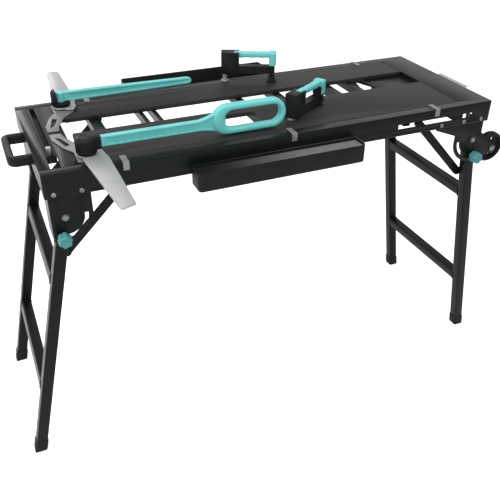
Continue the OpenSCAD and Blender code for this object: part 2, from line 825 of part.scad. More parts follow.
// A tapering blade with a ridge along it, which gives its top two long facets
module jaw_blade(row) {
    lean = 0.035;
    root_x = -15;
    tip_x = root_x + blade_w / 2 + lean * blade_l;
    color(bright_steel) at_jaw(row) translate([0, 0, blade_z]) difference() {
        union() {
            linear_extrude(blade_t) blade_outline(root_x, tip_x);
            intersection() {
                linear_extrude(blade_t + blade_ridge) blade_outline(root_x, tip_x);
                translate([0, hub_r + 6, blade_t]) rotate([-90, 0, -atan(lean)]) linear_extrude(blade_l)
                    polygon([[root_x - 6, 0], [root_x + blade_w + 6, 0],
                             [root_x + blade_w / 2 + 2, -blade_ridge]]);
            }
        }
        translate([0, 0, -cut]) cylinder(r = jaw_bolt_r + pin_gap, h = blade_t + 2 * cut);
    }
}

module blade_outline(root_x, tip_x) {
    circle(r = hub_r - 1);
    polygon([[root_x, 0], [root_x, 40],
             [tip_x - blade_tip / 2, blade_l - 6], [tip_x - blade_tip / 2 + 4, blade_l],
             [tip_x + blade_tip / 2, blade_l - 12], [root_x + blade_w, 44], [root_x + blade_w - 8, -20],
             [root_x + blade_w - 16, -36], [root_x + blade_w - 28, -36]]);
}

module hub_body() {
    translate([0, 0, hub_z]) cylinder(r = hub_r - 3, h = hub_h);
    translate([0, 0, hub_z + 4]) cylinder(r = hub_r, h = hub_h - 8);
}

module hub_bore() {
    translate([0, 0, hub_z - cut])
        cylinder(r = jaw_bolt_r + pin_gap, h = jaw_bolt_top + move_gap - hub_z + cut);
}

// The front hub: a round cap with a square socket for the lever
module front_jaw_hub() {
    color(plastic_black) at_jaw(FRONT) difference() {
        union() {
            hub_body();
            translate([0, -socket_w / 2, lever_mid - lever_h / 2 - 4])
                cube([socket_l, socket_w, lever_h + 8]);
        }
        hub_bore();
        translate([socket_l - tongue, -lever_t / 2, lever_mid - lever_h / 2])
            cube([tongue + cut, lever_t, lever_h]);
    }
}

// The back hub: a low base with a half cap behind the lever's eye
module back_jaw_hub() {
    color(plastic_black) at_jaw(BACK) difference() {
        hub_body();
        hub_bore();
        translate([-eye_r, -hub_r - cut, lever_mid - lever_h / 2])
            cube([2 * hub_r, 2 * (hub_r + cut), hub_h]);
    }
}

// The front lever: a straight bar that flares into a closed upright grip
module front_jaw_lever() {
    grip_x = lever_l - grip_l;
    grip_low = top_h + 3;
    grip_root = 32;
    grip_wall = 15;
    flare = 34;
    color(teal) at_jaw(FRONT) {
        difference() {
            union() {
                slab_y(-lever_t / 2, lever_t / 2) {
                    translate([socket_l - tongue, lever_mid - lever_h / 2])
                        square([grip_x + grip_h / 2 - socket_l + tongue, lever_h]);
                    polygon([[grip_x - flare, lever_mid - lever_h / 2],
                             [grip_x - flare, lever_mid + lever_h / 2],
                             [grip_x + grip_h / 2, grip_low + grip_h - 6],
                             [grip_x + grip_h / 2, grip_low + 6]]);
                }
                translate([grip_x, 0, grip_low]) slab_y(-grip_t / 2, grip_t / 2)
                    round_rect([grip_l, grip_h], grip_h / 2 - 0.5);
            }
            translate([grip_x + grip_root, 0, grip_low + grip_wall]) slab_y(-grip_t, grip_t)
                round_rect([grip_l - grip_root - grip_wall, grip_h - 2 * grip_wall],
                           grip_h / 2 - grip_wall - 0.5);
        }
    }
}

// The back lever: an eye on the pivot bolt and a plain bar that narrows to a round end
module back_jaw_lever() {
    tip_h = lever_h - 9;
    color(teal) at_jaw(BACK) difference() {
        union() {
            slab_y(-lever_t / 2, lever_t / 2) {
                polygon([[0, lever_mid - lever_h / 2], [socket_l, lever_mid - lever_h / 2],
                         [back_lever_l - tip_h / 2, lever_mid - tip_h / 2],
                         [back_lever_l - tip_h / 2, lever_mid + tip_h / 2],
                         [socket_l, lever_mid + lever_h / 2], [0, lever_mid + lever_h / 2]]);
                translate([back_lever_l - tip_h / 2, lever_mid]) circle(r = tip_h / 2);
            }
            translate([0, 0, lever_mid - lever_h / 2]) cylinder(r = eye_r, h = lever_h);
        }
        hub_bore();
    }
}

// A square-head bolt that slides in the track insert
module track_stop_bolt() {
    head = track_groove - 2 * 0.3;
    color(bright_steel) translate([track_x - head / 2, front_face + 136, top_h - track_depth + 0.3])
        cube([head, head, track_depth + 4]);
}

module at_clamp(place, turn) {
    translate([place.x, place.y, top_h]) rotate([0, 0, turn]) children();
}

// The steel post turns in its socket and stands on a collar
module clamp_post(place, turn) {
    color(bright_steel) at_clamp(place, turn) {
        translate([0, 0, -socket_depth]) cylinder(r = clamp_post_r, h = socket_depth + post_top);
        translate([0, 0, 0.3]) cylinder(r = clamp_post_r + 4, h = collar_h);
    }
}

// The clamp arm: sleeve block on the post, fork for the lever, low bar, and the far post over the pad
module clamp_arm(place, turn, lift) {
    color(plastic_black) at_clamp(place, turn) translate([0, 0, lift]) {
        difference() {
            union() {
                translate([-block_back, -clamp_w / 2, block_low])
                    cube([block_back + block_front, clamp_w, block_top - block_low]);
                translate([0, -clamp_w / 2 + 4, clamp_bar_low])
                    cube([clamp_reach, clamp_w - 8, clamp_bar_top - clamp_bar_low]);
                translate([clamp_reach - far_post_l / 2, -clamp_w / 2 + 3, far_post_low])
                    cube([far_post_l, clamp_w - 6, far_post_top - far_post_low]);
            }
            translate([0, 0, block_low - cut])
                cylinder(r = clamp_post_r + pin_gap, h = bore_top - block_low + cut);
            translate([fork_back, -clamp_w / 2 + ear_t, fork_floor])
                cube([block_front, clamp_w - 2 * ear_t, block_top]);
            translate([clamp_pin.x, 0, clamp_pin.y]) pin_y(clamp_pin_r, -clamp_w, clamp_w);
            translate([clamp_reach, 0, far_post_low - cut])
                cylinder(r = pad_stem_r, h = pad_stem_in + cut);
        }
        translate([clamp_pin.x, 0, clamp_pin.y]) pin_y(clamp_pin_r, -clamp_w / 2 - 1, clamp_w / 2 + 1);
    }
}

// The clamp lever: a round-ended grip that turns on the fork's pin and lies on the far post
module clamp_lever(place, turn, lift) {
    w = clamp_w - 2 * ear_t - 2 * move_gap;
    tip = [clamp_reach + far_post_l / 2 - clamp_lever_h / 2 + 1, clamp_pin.y];
    color(teal) at_clamp(place, turn) translate([0, 0, lift]) difference() {
        slab_y(-w / 2, w / 2) bar_outline(clamp_pin, tip, clamp_lever_h);
        translate([clamp_pin.x, 0, clamp_pin.y]) pin_y(clamp_pin_r + pin_gap, -clamp_w, clamp_w);
    }
}

// The pressure pad: a stem in the far post and a flat round pad just above the panel
module clamp_pad(place, turn, lift) {
    pad_r = 15;
    pad_t = 6;
    color(plastic_black) at_clamp(place, turn) translate([clamp_reach, 0, 0]) {
        translate([0, 0, 0.3]) cylinder(r = pad_r, h = pad_t);
        translate([0, 0, 0.3]) cylinder(r = pad_stem_r, h = lift + far_post_low + pad_stem_in - 1);
    }
}

side_rail(FRONT);  // front_side_rail
side_rail(BACK);  // back_side_rail
left_end_beam();
right_end_beam();
end_track_insert();
cross_members();
strut_guides();
front_work_panel();
back_work_panel();
slot_floor_plate();
front_tool_tray();
back_tool_tray();
carry_handle();
leg_bracket(LEFT, FRONT);  // left_front_leg_bracket
leg_bracket(LEFT, BACK);  // left_back_leg_bracket
leg_bracket(RIGHT, FRONT);  // right_front_leg_bracket
leg_bracket(RIGHT, BACK);  // right_back_leg_bracket
pivot_bolts();
frame_bolts();
rail_clips();
wheel_axles();
jaw_mount_plates();
right_end_strip();
leg_post(LEFT, FRONT);  // left_leg_front_post
leg_post(LEFT, BACK);  // left_leg_back_post
leg_bar(LEFT, upper_bar_at);  // left_leg_upper_bar
leg_bar(LEFT, lower_bar_at);  // left_leg_lower_bar
leg_feet(LEFT);  // left_leg_feet
leg_rivets(LEFT);  // left_leg_rivets
leg_post(RIGHT, FRONT);  // right_leg_front_post
leg_post(RIGHT, BACK);  // right_leg_back_post
leg_bar(RIGHT, upper_bar_at);  // right_leg_upper_bar
leg_bar(RIGHT, lower_bar_at);  // right_leg_lower_bar
leg_feet(RIGHT);  // right_leg_feet
leg_rivets(RIGHT);  // right_leg_rivets
strut(LEFT, FRONT);  // left_front_strut
strut(LEFT, BACK);  // left_back_strut
strut(RIGHT, FRONT);  // right_front_strut
strut(RIGHT, BACK);  // right_back_strut
leg_knob(LEFT, FRONT);  // left_front_knob
leg_knob(LEFT, BACK);  // left_back_knob
leg_knob(RIGHT, FRONT);  // right_front_knob
leg_knob(RIGHT, BACK);  // right_back_knob
transport_wheel(FRONT);  // front_wheel
transport_wheel(BACK);  // back_wheel
jaw_blade(FRONT);  // front_jaw_blade
front_jaw_hub();
front_jaw_lever();
jaw_blade(BACK);  // back_jaw_blade
back_jaw_hub();
back_jaw_lever();
track_stop_bolt();
clamp_post(rear_clamp, rear_turn);  // rear_clamp_post
clamp_arm(rear_clamp, rear_turn, rear_lift);  // rear_clamp_arm
clamp_lever(rear_clamp, rear_turn, rear_lift);  // rear_clamp_lever
clamp_pad(rear_clamp, rear_turn, rear_lift);  // rear_clamp_pad
clamp_post(slot_clamp, slot_turn);  // slot_clamp_post
clamp_arm(slot_clamp, slot_turn, 0);  // slot_clamp_arm
clamp_lever(slot_clamp, slot_turn, 0);  // slot_clamp_lever
clamp_pad(slot_clamp, slot_turn, 0);  // slot_clamp_pad
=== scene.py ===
import json
from math import cos, pi, radians, sin, sqrt, tan

import bmesh
import bpy
from mathutils import Matrix, Vector


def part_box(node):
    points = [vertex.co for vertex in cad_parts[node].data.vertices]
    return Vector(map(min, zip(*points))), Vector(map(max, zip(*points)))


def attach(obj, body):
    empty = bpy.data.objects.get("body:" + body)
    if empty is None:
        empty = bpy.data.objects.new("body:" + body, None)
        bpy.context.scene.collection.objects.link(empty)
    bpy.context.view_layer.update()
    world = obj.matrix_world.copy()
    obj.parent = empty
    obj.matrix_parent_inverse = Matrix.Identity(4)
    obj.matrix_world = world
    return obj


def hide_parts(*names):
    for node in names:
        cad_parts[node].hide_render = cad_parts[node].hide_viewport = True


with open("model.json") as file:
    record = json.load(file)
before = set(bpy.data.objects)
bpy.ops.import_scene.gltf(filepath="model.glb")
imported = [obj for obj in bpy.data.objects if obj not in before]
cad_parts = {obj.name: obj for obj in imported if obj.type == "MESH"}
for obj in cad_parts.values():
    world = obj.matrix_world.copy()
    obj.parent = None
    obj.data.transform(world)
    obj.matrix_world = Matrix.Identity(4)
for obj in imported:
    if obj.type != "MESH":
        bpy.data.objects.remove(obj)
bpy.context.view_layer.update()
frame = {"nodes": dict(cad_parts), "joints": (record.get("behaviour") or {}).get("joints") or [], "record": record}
nodes = frame["nodes"]
joints = {joint["name"]: joint for joint in frame["joints"]}
bodyOf = {name: body for body, names in frame["record"]["behaviour"]["bodies"].items() for name in names}
slotOf = {part["node"]: part["material_slot"] for part in frame["record"]["subparts"]}
scene = bpy.context.scene
mm = 0.001
crease = 32  # degrees; faces that meet at more than this have a sharp edge
mergeWithin = 1e-6  # metres


# A node tree of a material, the world or a shape; every node in it is made by add
class NodeTree:
    def __init__(self, tree):
        self.tree = tree

    def add(self, kind, settings=None, sockets=None):
        made = self.tree.nodes.new(kind)
        for key, value in (settings or {}).items():
            setattr(made, key, value)
        for key, value in (sockets or {}).items():
            self.feed(made.inputs[key], value)
        return made

    def feed(self, socket, value):
        if isinstance(value, Sum):
            value = value.socket
        if isinstance(value, bpy.types.NodeSocket):
            self.tree.links.new(value, socket)
        elif socket.type == "RGBA" and len(value) == 3:
            socket.default_value = (*value, 1)
        else:
            socket.default_value = value

    def calc(self, operation, *terms):
        made = self.add("ShaderNodeMath", {"operation": operation}, dict(enumerate(terms)))
        return Sum(self, made.outputs[0])

    def clamp(self, value):
        return Sum(self, self.add("ShaderNodeClamp", sockets={"Value": value}).outputs[0])

    # 1 where the camera looks at it straight, in a mirror or through glass
    def plainSight(self):
        rays = self.add("ShaderNodeLightPath").outputs
        return self.clamp(Sum(self, rays["Is Camera Ray"]) + Sum(self, rays["Is Glossy Ray"])
                          + Sum(self, rays["Is Transmission Ray"]))


# A value socket that adds its own Math nodes when it is used in an expression
class Sum:
    def __init__(self, book, socket):
        self.book = book
        self.socket = socket

    def __add__(self, other):
        return self.book.calc("ADD", self, other)

    def __rsub__(self, other):
        return self.book.calc("SUBTRACT", other, self)

    def __mul__(self, other):
        return self.book.calc("MULTIPLY", self, other)

    def __truediv__(self, other):
        return self.book.calc("DIVIDE", self, other)

    __radd__ = __add__
    __rmul__ = __mul__


# A material, whose patterns lie in the piece's own coordinates
class Paint(NodeTree):
    def __init__(self, name):
        self.material = bpy.data.materials.new(name)
        self.material.use_nodes = True
        super().__init__(self.material.node_tree)
        self.tree.nodes.clear()
        self.place = self.add("ShaderNodeTexCoord").outputs["Object"]

    # the coordinates squeezed along some axes, for a pattern that runs along the others
    def stretched(self, scale):
        return self.add("ShaderNodeMapping", sockets={"Vector": self.place, "Scale": scale}).outputs[0]

    # one coordinate of a vector: 0 for X, 1 for Y, 2 for Z
    def part(self, vector, axis):
        return Sum(self, self.add("ShaderNodeSeparateXYZ", sockets={0: vector}).outputs[axis])

    def noise(self, scale, detail=2.0, rough=0.5, place=None):
        made = self.add("ShaderNodeTexNoise", sockets={
            "Vector": place or self.place, "Scale": scale, "Detail": detail, "Roughness": rough})
        return Sum(self, made.outputs["Fac"])

    # soft step: 0 below low, 1 above high
    def step(self, value, low, high):
        made = self.add("ShaderNodeMapRange", {"interpolation_type": "SMOOTHSTEP"}, {
            "Value": value, "From Min": low, "From Max": high})
        return Sum(self, made.outputs[0])

    # sockets 6 and 7 and output 2 are the colours of the Mix node
    def mixed(self, first, second, share):
        made = self.add("ShaderNodeMix", {"data_type": "RGBA"}, {"Factor": share, 6: first, 7: second})
        return made.outputs[2]

    # 1 along edges, 0 on flats; the radius is in metres
    def edges(self, radius, strength):
        bevel = self.add("ShaderNodeBevel", {"samples": 4}, {"Radius": radius}).outputs[0]
        plain = self.add("ShaderNodeNewGeometry").outputs["Normal"]
        dot = self.add("ShaderNodeVectorMath", {"operation": "DOT_PRODUCT"}, {0: bevel, 1: plain})
        return self.clamp((1 - Sum(self, dot.outputs["Value"])) * strength)

    # bump is a height pattern, its depth in metres and its strength
    def finishWith(self, sockets, bump=None):
        if bump:
            made = self.add("ShaderNodeBump", sockets=dict(zip(("Height", "Distance", "Strength"), bump)))
            sockets["Normal"] = made.outputs[0]
        surface = self.add("ShaderNodeBsdfPrincipled", sockets=sockets)
        self.add("ShaderNodeOutputMaterial", sockets={"Surface": surface.outputs[0]})
        return self.material


powderCoatLook = {
    "colour": (0.0045, 0.0056, 0.0058),
    "worn": (0.024, 0.026, 0.027),
    "rough": 0.32,
    "shine": 0.1,
    "peelScale": 900,  # orange peel of the coat
    "peelDepth": 0.00004,
}


def powderCoat(look=powderCoatLook):
    paint = Paint("powderCoat")
    cloud = paint.step(paint.noise(6, 3), 0.35, 0.75)
    dust = paint.step(paint.noise(38, 4, 0.6), 0.6, 0.9)
    edge = paint.edges(0.0012, 2.2) * paint.step(paint.noise(120, 3), 0.42, 0.7)
    colour = paint.mixed(look["colour"], look["worn"], paint.clamp(edge * 0.8 + dust * 0.06))
    return paint.finishWith({
        "Base Color": colour,
        "Roughness": look["rough"] + cloud * 0.07 + edge * 0.15,
        "Specular IOR Level": look["shine"],
    }, (paint.noise(look["peelScale"]), look["peelDepth"], 0.35))


panelFilmLook = {
    "colour": (0.012, 0.0116, 0.0113),
    "light": (0.021, 0.0204, 0.02),
    "rough": 0.58,
    "shine": 0.16,
    "grainScale": 1400,
    "grainDepth": 0.00005,
}


def panelFilm(look=panelFilmLook):
    paint = Paint("panelFilm")
    cloud = paint.step(paint.noise(4, 3), 0.3, 0.75)
    scuffs = paint.step(paint.noise(3, 6, 0.62, paint.stretched((1, 9, 9))), 0.58, 0.8)
    colour = paint.mixed(look["colour"], look["light"], paint.clamp(cloud * 0.5 + scuffs * 0.5))
    return paint.finishWith({
        "Base Color": colour,
        "Roughness": look["rough"] + scuffs * 0.12 + cloud * 0.05,
        "Specular IOR Level": look["shine"],
    }, (paint.noise(look["grainScale"]), look["grainDepth"], 0.4))


blackMouldingLook = {
    "colour": (0.0058, 0.0068, 0.0068),
    "light": (0.012, 0.013, 0.013),
    "rough": 0.45,
    "shine": 0.1,
    "sparkScale": 1100,  # spark-eroded texture of the mould
    "sparkDepth": 0.00008,
}
trayMouldingLook = {
    **blackMouldingLook,
    "dust": (0.17, 0.17, 0.168),
    "dustFrom": (-0.22, 0.12),  # dust with painted sheen on level faces, lighter from left to right between these X, in metres
}


def blackMoulding(look=blackMouldingLook, name="blackMoulding"):
    paint = Paint(name)
    cloud = paint.step(paint.noise(9, 3), 0.35, 0.7)
    edge = paint.edges(0.001, 1.5)
    colour = paint.mixed(look["colour"], look["light"], paint.clamp(cloud * 0.5 + edge * 0.7))
    # grey dust with a painted sheen: level faces are lightened, more so from left to right
    if "dust" in look:
        normal = paint.add("ShaderNodeNewGeometry").outputs["Normal"]
        level = paint.step(paint.part(normal, 2), 0.9, 0.99)
        sheenRamp = paint.step(paint.part(paint.place, 0), *look["dustFrom"])
        speck = paint.step(paint.noise(55, 5, 0.65), 0.2, 0.8)
        colour = paint.mixed(colour, look["dust"], level * sheenRamp * (0.65 + speck * 0.35))
    spark = paint.add("ShaderNodeTexVoronoi", sockets={"Vector": paint.place, "Scale": look["sparkScale"]})
    return paint.finishWith({
        "Base Color": colour,
        "Roughness": look["rough"] + cloud * 0.08,
        "Specular IOR Level": look["shine"],
    }, (spark.outputs["Distance"], look["sparkDepth"], 0.5))


tealMouldingLook = {
    "colour": (0.115, 0.46, 0.445),
    "deep": (0.085, 0.375, 0.363),
    "rough": 0.42,
    "shine": 0.25,
    "grainScale": 1300,
    "grainDepth": 0.00004,
}
# painted shade: the knobs' teal darkened as if in shadow
shadedTealLook = {
    **tealMouldingLook,
    "colour": (0.052, 0.225, 0.222),
    "deep": (0.036, 0.17, 0.168),
}


def tealMoulding(look=tealMouldingLook, name="tealMoulding"):
    paint = Paint(name)
    cloud = paint.step(paint.noise(11, 3), 0.35, 0.7)
    flow = paint.step(paint.noise(5, 5, 0.6, paint.stretched((1, 6, 6))), 0.5, 0.8)
    colour = paint.mixed(look["colour"], look["deep"], paint.clamp(cloud * 0.35 + flow * 0.25))
    return paint.finishWith({
        "Base Color": colour,
        "Roughness": look["rough"] + cloud * 0.07,
        "Specular IOR Level": look["shine"],
    }, (paint.noise(look["grainScale"]), look["grainDepth"], 0.4))


brightPlateLook = {
    "colour": (0.36, 0.36, 0.365),
    "dull": (0.25, 0.25, 0.255),
    "rough": 0.44,
    "metallic": 0.7,
    "brushDepth": 0.00003,
}
dulledPlateLook = {
    **brightPlateLook,
    "colour": (0.2, 0.2, 0.2),
    "dull": (0.12, 0.12, 0.12),
    "rough": 0.46,
}


def brightPlate(look=brightPlateLook, name="brightPlate"):
    paint = Paint(name)
    brushing = paint.noise(30, 4, 0.7, paint.stretched((40, 1.5, 40)))
    stain = paint.step(paint.noise(14, 4, 0.6), 0.5, 0.8)
    colour = paint.mixed(look["colour"], look["dull"], paint.clamp(stain * 0.4 + brushing * 0.25))
    return paint.finishWith({
        "Base Color": colour,
        "Metallic": look["metallic"],
        "Roughness": look["rough"] + brushing * 0.16 + stain * 0.08,
    }, (brushing, look["brushDepth"], 0.35))


zincPlateLook = {
    "colour": (0.17, 0.175, 0.18),
    "dull": (0.1, 0.104, 0.108),
    "rough": 0.4,
    "metallic": 0.9,
}


def zincPlate(look=zincPlateLook):
    paint = Paint("zincPlate")
    bloom = paint.step(paint.noise(160, 3), 0.4, 0.7)
    return paint.finishWith({
        "Base Color": paint.mixed(look["colour"], look["dull"], bloom * 0.6),
        "Metallic": look["metallic"],
        "Roughness": look["rough"] + bloom * 0.15,
    })


# The record's material slots, and three shades of them for single pieces; the knobs' darker teal is painted shade,
# and the trays' dust carries a painted sheen
paints = {
    "frame_black": powderCoat(),
    "panel_black": panelFilm(),
    "plastic_black": blackMoulding(),
    "teal_plastic": tealMoulding(),
    "bright_steel": brightPlate(),
    "zinc_bolts": zincPlate(),
    "tray_black": blackMoulding(trayMouldingLook, "trayMoulding"),
    "shaded_knob_teal": tealMoulding(shadedTealLook, "shadedTeal"),
    "dulled_steel": brightPlate(dulledPlateLook, "dulledPlate"),
}
print("materials made:", len(paints))


def linked(name, data):
    made = bpy.data.objects.new(name, data)
    scene.collection.objects.link(made)
    return made


# Camera at the photograph's viewing angle
cameraView = {
    "place": (-0.7089, -1.6129, 1.5179),
    "heading": 23.947,  # degrees from +Y towards +X
    "dip": 33.125,
    "roll": 0.711,
    "lens": 47.63,
    "sensor": 36,
    "clip": (0.05, 60),
}


def setCamera(look=cameraView):
    heading, dip, roll = (radians(look[key]) for key in ("heading", "dip", "roll"))
    forward = Vector((sin(heading) * cos(dip), cos(heading) * cos(dip), -sin(dip)))
    across = Vector((cos(heading), -sin(heading), 0))
    upward = across.cross(forward)
    right = across * cos(roll) + upward * sin(roll)
    top = upward * cos(roll) - across * sin(roll)
    data = bpy.data.cameras.new("camera")
    data.lens, data.sensor_width = look["lens"], look["sensor"]
    data.clip_start, data.clip_end = look["clip"]
    scene.camera = linked("camera", data)
    turned = Matrix((right, top, -forward)).transposed().to_4x4()
    scene.camera.matrix_world = Matrix.Translation(look["place"]) @ turned


studio = {
    "floorSize": 14.0,
    "floorTone": 0.86,
    "glow": 0.62,  # what the camera sees on top of the floor's own lit tone
    "world": 0.52,
    "lamps": [  # name, place, aim, size, watts
        ("overheadLamp", (-0.4, -0.6, 3.0), (0, 0, 0.6), (2.4, 1.8), 52),
        ("leftLamp", (-3.0, -0.2, 1.8), (0, 0, 0.6), (1.6, 2.2), 36),
        ("backRightCard", (2.1, 3.2, 2.7), (0.3, -0.1, 0.86), (1.8, 1.0), 4),
        ("backLeftCard", (-0.95, 3.2, 2.1), (-0.7, 0, 0.86), (1.0, 0.9), 18),
        ("frontFill", (-0.9, -3.8, 2.2), (0, 0, 0.5), (3.8, 2.4), 58),
    ],
}


def addLamp(name, place, aim, size, watts):
    data = bpy.data.lights.new(name, "AREA")
    data.shape = "RECTANGLE"
    data.size, data.size_y = size
    data.energy = watts
    lamp = linked(name, data)
    lamp.location = place
    lamp.rotation_euler = (Vector(aim) - Vector(place)).to_track_quat("-Z", "Y").to_euler()


# White in plain sight, an ordinary pale surface for all other light
def paleBackdrop(look):
    paint = Paint("paleFloor")
    tone = look["floorTone"]
    plain = paint.add("ShaderNodeBsdfDiffuse", sockets={"Color": (tone, tone, tone)}).outputs[0]
    glow = paint.add("ShaderNodeEmission", sockets={"Color": (1, 1, 1), "Strength": look["glow"]})
    both = paint.add("ShaderNodeAddShader", sockets={0: plain, 1: glow.outputs[0]}).outputs[0]
    mix = paint.add("ShaderNodeMixShader", sockets={0: paint.plainSight(), 1: plain, 2: both})
    paint.add("ShaderNodeOutputMaterial", sockets={"Surface": mix.outputs[0]})
    return paint.material


def setStudio(look=studio):
    half = look["floorSize"] / 2
    mesh = bpy.data.meshes.new("floor")
    corners = [(-half, -half, 0), (half, -half, 0), (half, half, 0), (-half, half, 0)]
    mesh.from_pydata(corners, [], [(0, 1, 2, 3)])
    mesh.materials.append(paleBackdrop(look))
    floor = linked("floor", mesh)
    for lamp in look["lamps"]:
        addLamp(*lamp)
    scene.world = bpy.data.worlds.new("paleRoom")
    scene.world.use_nodes = True
    room = NodeTree(scene.world.node_tree)
    room.tree.nodes.clear()
    strength = room.add("ShaderNodeMapRange", sockets={
        "Value": room.plainSight(), "To Min": look["world"], "To Max": 1.0})
    light = room.add("ShaderNodeBackground", sockets={"Color": (1, 1, 1), "Strength": strength.outputs[0]})
    room.add("ShaderNodeOutputWorld", sockets={"Surface": light.outputs[0]})
    scene.view_settings.view_transform = "Standard"


setCamera()
setStudio()
print("camera and studio set")


def settle(piece):
    graph = bpy.context.evaluated_depsgraph_get()
    made = bpy.data.meshes.new_from_object(piece.evaluated_get(graph))
    piece.modifiers.clear()
    piece.data = made
    made.name = piece.name


# Breaks the sharp edges, as on folded sheet or a moulding
def softenEdges(piece, width, segments=2):
    bevel = piece.modifiers.new("softEdges", "BEVEL")
    bevel.width = width * mm
    bevel.segments = segments
    bevel.limit_method = "ANGLE"
    bevel.angle_limit = radians(crease)
    bevel.use_clamp_overlap = True
    bevel.harden_normals = True


# Gives a piece its body, its material slot and the CAD nodes that it stands for; finish is another shade
def wear(piece, body, slot, stands=(), finish=None):
    piece.data.materials.clear()
    piece.data.materials.append(paints[finish or slot])
    for face in piece.data.polygons:
        face.material_index = 0
    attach(piece, body)
    if stands:
        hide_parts(*stands)


# A softened copy of a CAD node that stands for it
def softened(name, width, finish=None):
    mesh = nodes[name].data.copy()
    shape = bmesh.new()
    shape.from_mesh(mesh)
    bmesh.ops.remove_doubles(shape, verts=shape.verts, dist=mergeWithin)
    bmesh.ops.dissolve_limit(shape, angle_limit=radians(0.6), verts=shape.verts, edges=shape.edges)
    shape.to_mesh(mesh)
    shape.free()
    mesh.shade_smooth()
    piece = linked(name + "_finished", mesh)
    softenEdges(piece, width)
    settle(piece)
    wear(piece, bodyOf[name], slotOf[name], [name], finish)


# Shells of points, joined into one mesh
class Shape:
    def __init__(self):
        self.mesh = bmesh.new()

    # rings of the same number of points, joined in turn; looped joins the last to the first
    def shell(self, rings, place=Matrix(), looped=False):
        made = [[self.mesh.verts.new(place @ (Vector(point) * mm)) for point in ring] for ring in rings]
        count = len(made[0])
        for one, two in zip(made, made[1:] + made[:1] if looped else made[1:]):
            for i in range(count):
                j = (i + 1) % count
                self.mesh.faces.new((one[i], one[j], two[j], two[i]))
        if not looped:
            self.mesh.faces.new(made[0][::-1])
            self.mesh.faces.new(made[-1])

    # outlines in local XY, each with its height
    def stack(self, levels, place=Matrix(), looped=False):
        self.shell([[(x, y, z) for x, y in outline] for outline, z in levels], place, looped)

    # (radius, height) pairs turned round the local Z
    def lathe(self, profile, place=Matrix(), steps=48, looped=False):
        turns = [2 * pi * i / steps for i in range(steps)]
        self.stack([([(r * cos(a), r * sin(a)) for a in turns], h) for r, h in profile], place, looped)

    # a flat outline between two heights, its rims chamfered; outline(inset) gives its points
    def plate(self, outline, low, high, rim, place=Matrix()):
        levels = ((rim, low), (0, low + rim), (0, high - rim), (rim, high))
        self.stack([(outline(inset), z) for inset, z in levels], place)

    def toMesh(self, name):
        bmesh.ops.remove_doubles(self.mesh, verts=self.mesh.verts, dist=mergeWithin)
        bmesh.ops.dissolve_degenerate(self.mesh, dist=1e-7, edges=self.mesh.edges)
        bmesh.ops.recalc_face_normals(self.mesh, faces=self.mesh.faces)
        mesh = bpy.data.meshes.new(name)
        self.mesh.to_mesh(mesh)
        self.mesh.free()
        return mesh


# Edges are broken by a width, or else kept sharp where faces meet at more than an angle in degrees
def addPiece(name, shape, body, slot, stands=(), edge=None, sharp=crease, finish=None):
    mesh = shape.toMesh(name)
    mesh.shade_smooth()
    piece = linked(name, mesh)
    if edge:
        softenEdges(piece, edge)
        settle(piece)
    else:
        mesh.set_sharp_from_angle(angle=radians(sharp))
    wear(piece, body, slot, stands, finish)


# Points of a rounded rectangle, anticlockwise
def roundedOutline(width, height, radius, centre=(0, 0), steps=5):
    points = []
    for sx, sy, start in ((1, 1, 0), (-1, 1, 90), (-1, -1, 180), (1, -1, 270)):
        for i in range(steps + 1):
            angle = radians(start + 90 * i / steps)
            points.append((centre[0] + sx * (width / 2 - radius) + radius * cos(angle),
                           centre[1] + sy * (height / 2 - radius) + radius * sin(angle)))
    return points


# The same as a function of an inset
def roundedPlan(width, height, radius, centre=(0, 0)):
    return lambda inset: roundedOutline(width - 2 * inset, height - 2 * inset, radius, centre)


# Points of a flat bar with round ends
def barOutline(start, end, width, inset=0.0, steps=16):
    start, end = Vector(start), Vector(end)
    along = (end - start).normalized()
    side = Vector((-along.y, along.x))
    reach = width / 2 - inset
    points = []
    for centre, turned in ((start, 0), (end, 180)):
        for i in range(steps + 1):
            angle = radians(90 + turned + 180 * i / steps)
            points.append(centre + (along * cos(angle) + side * sin(angle)) * reach)
    return points


def shift(x=0.0, y=0.0, z=0.0):
    return Matrix.Translation(Vector((x, y, z)) * mm)


def turn(degrees, axis):
    return Matrix.Rotation(radians(degrees), 4, axis)


# The frame's point at local coordinates of a place
def spot(place, x=0.0, y=0.0, z=0.0):
    return place @ (Vector((x, y, z)) * mm)


flipX = Matrix.Diagonal((-1, 1, 1, 1))
flipY = Matrix.Diagonal((1, -1, 1, 1))
outwards = turn(-90, "X")  # local Z to +Y, which pivotPlace turns outwards
inwards = turn(90, "X")  # local Z to -Y
alongBench = turn(90, "Y")  # local Z to +X
lean = {"left": radians(13), "right": radians(9)}
sides = ("left", "right")
rows = ("front", "back")
facingRow = {"front": flipY, "back": Matrix()}
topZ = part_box("front_side_rail")[1].z


def jointAt(name):
    return Vector(joints[name]["pos_m"])


# At a leg pivot: X inward along the bench, Y outward on the row's side, Z up or up along the leg
def pivotPlace(side, row, leaning=False):
    pivot = jointAt(side + "_leg_fold")
    place = Matrix.Translation((pivot.x, 0, pivot.z))
    if side == "right":
        place = place @ flipX
    if leaning:
        place = place @ Matrix.Rotation(lean[side], 4, "Y")
    return facingRow[row] @ place


# At a wheel's axle: Y outward from the middle of the bench
def axlePlace(row):
    axle = jointAt(row + "_wheel_roll")
    return Matrix.Translation((axle.x, 0, axle.z)) @ facingRow[row]


# At a jaw's pivot, on the top
def jawPlace(row):
    pivot = jointAt(row + "_jaw_swing")
    return Matrix.Translation((pivot.x, pivot.y, topZ)) @ facingRow[row]


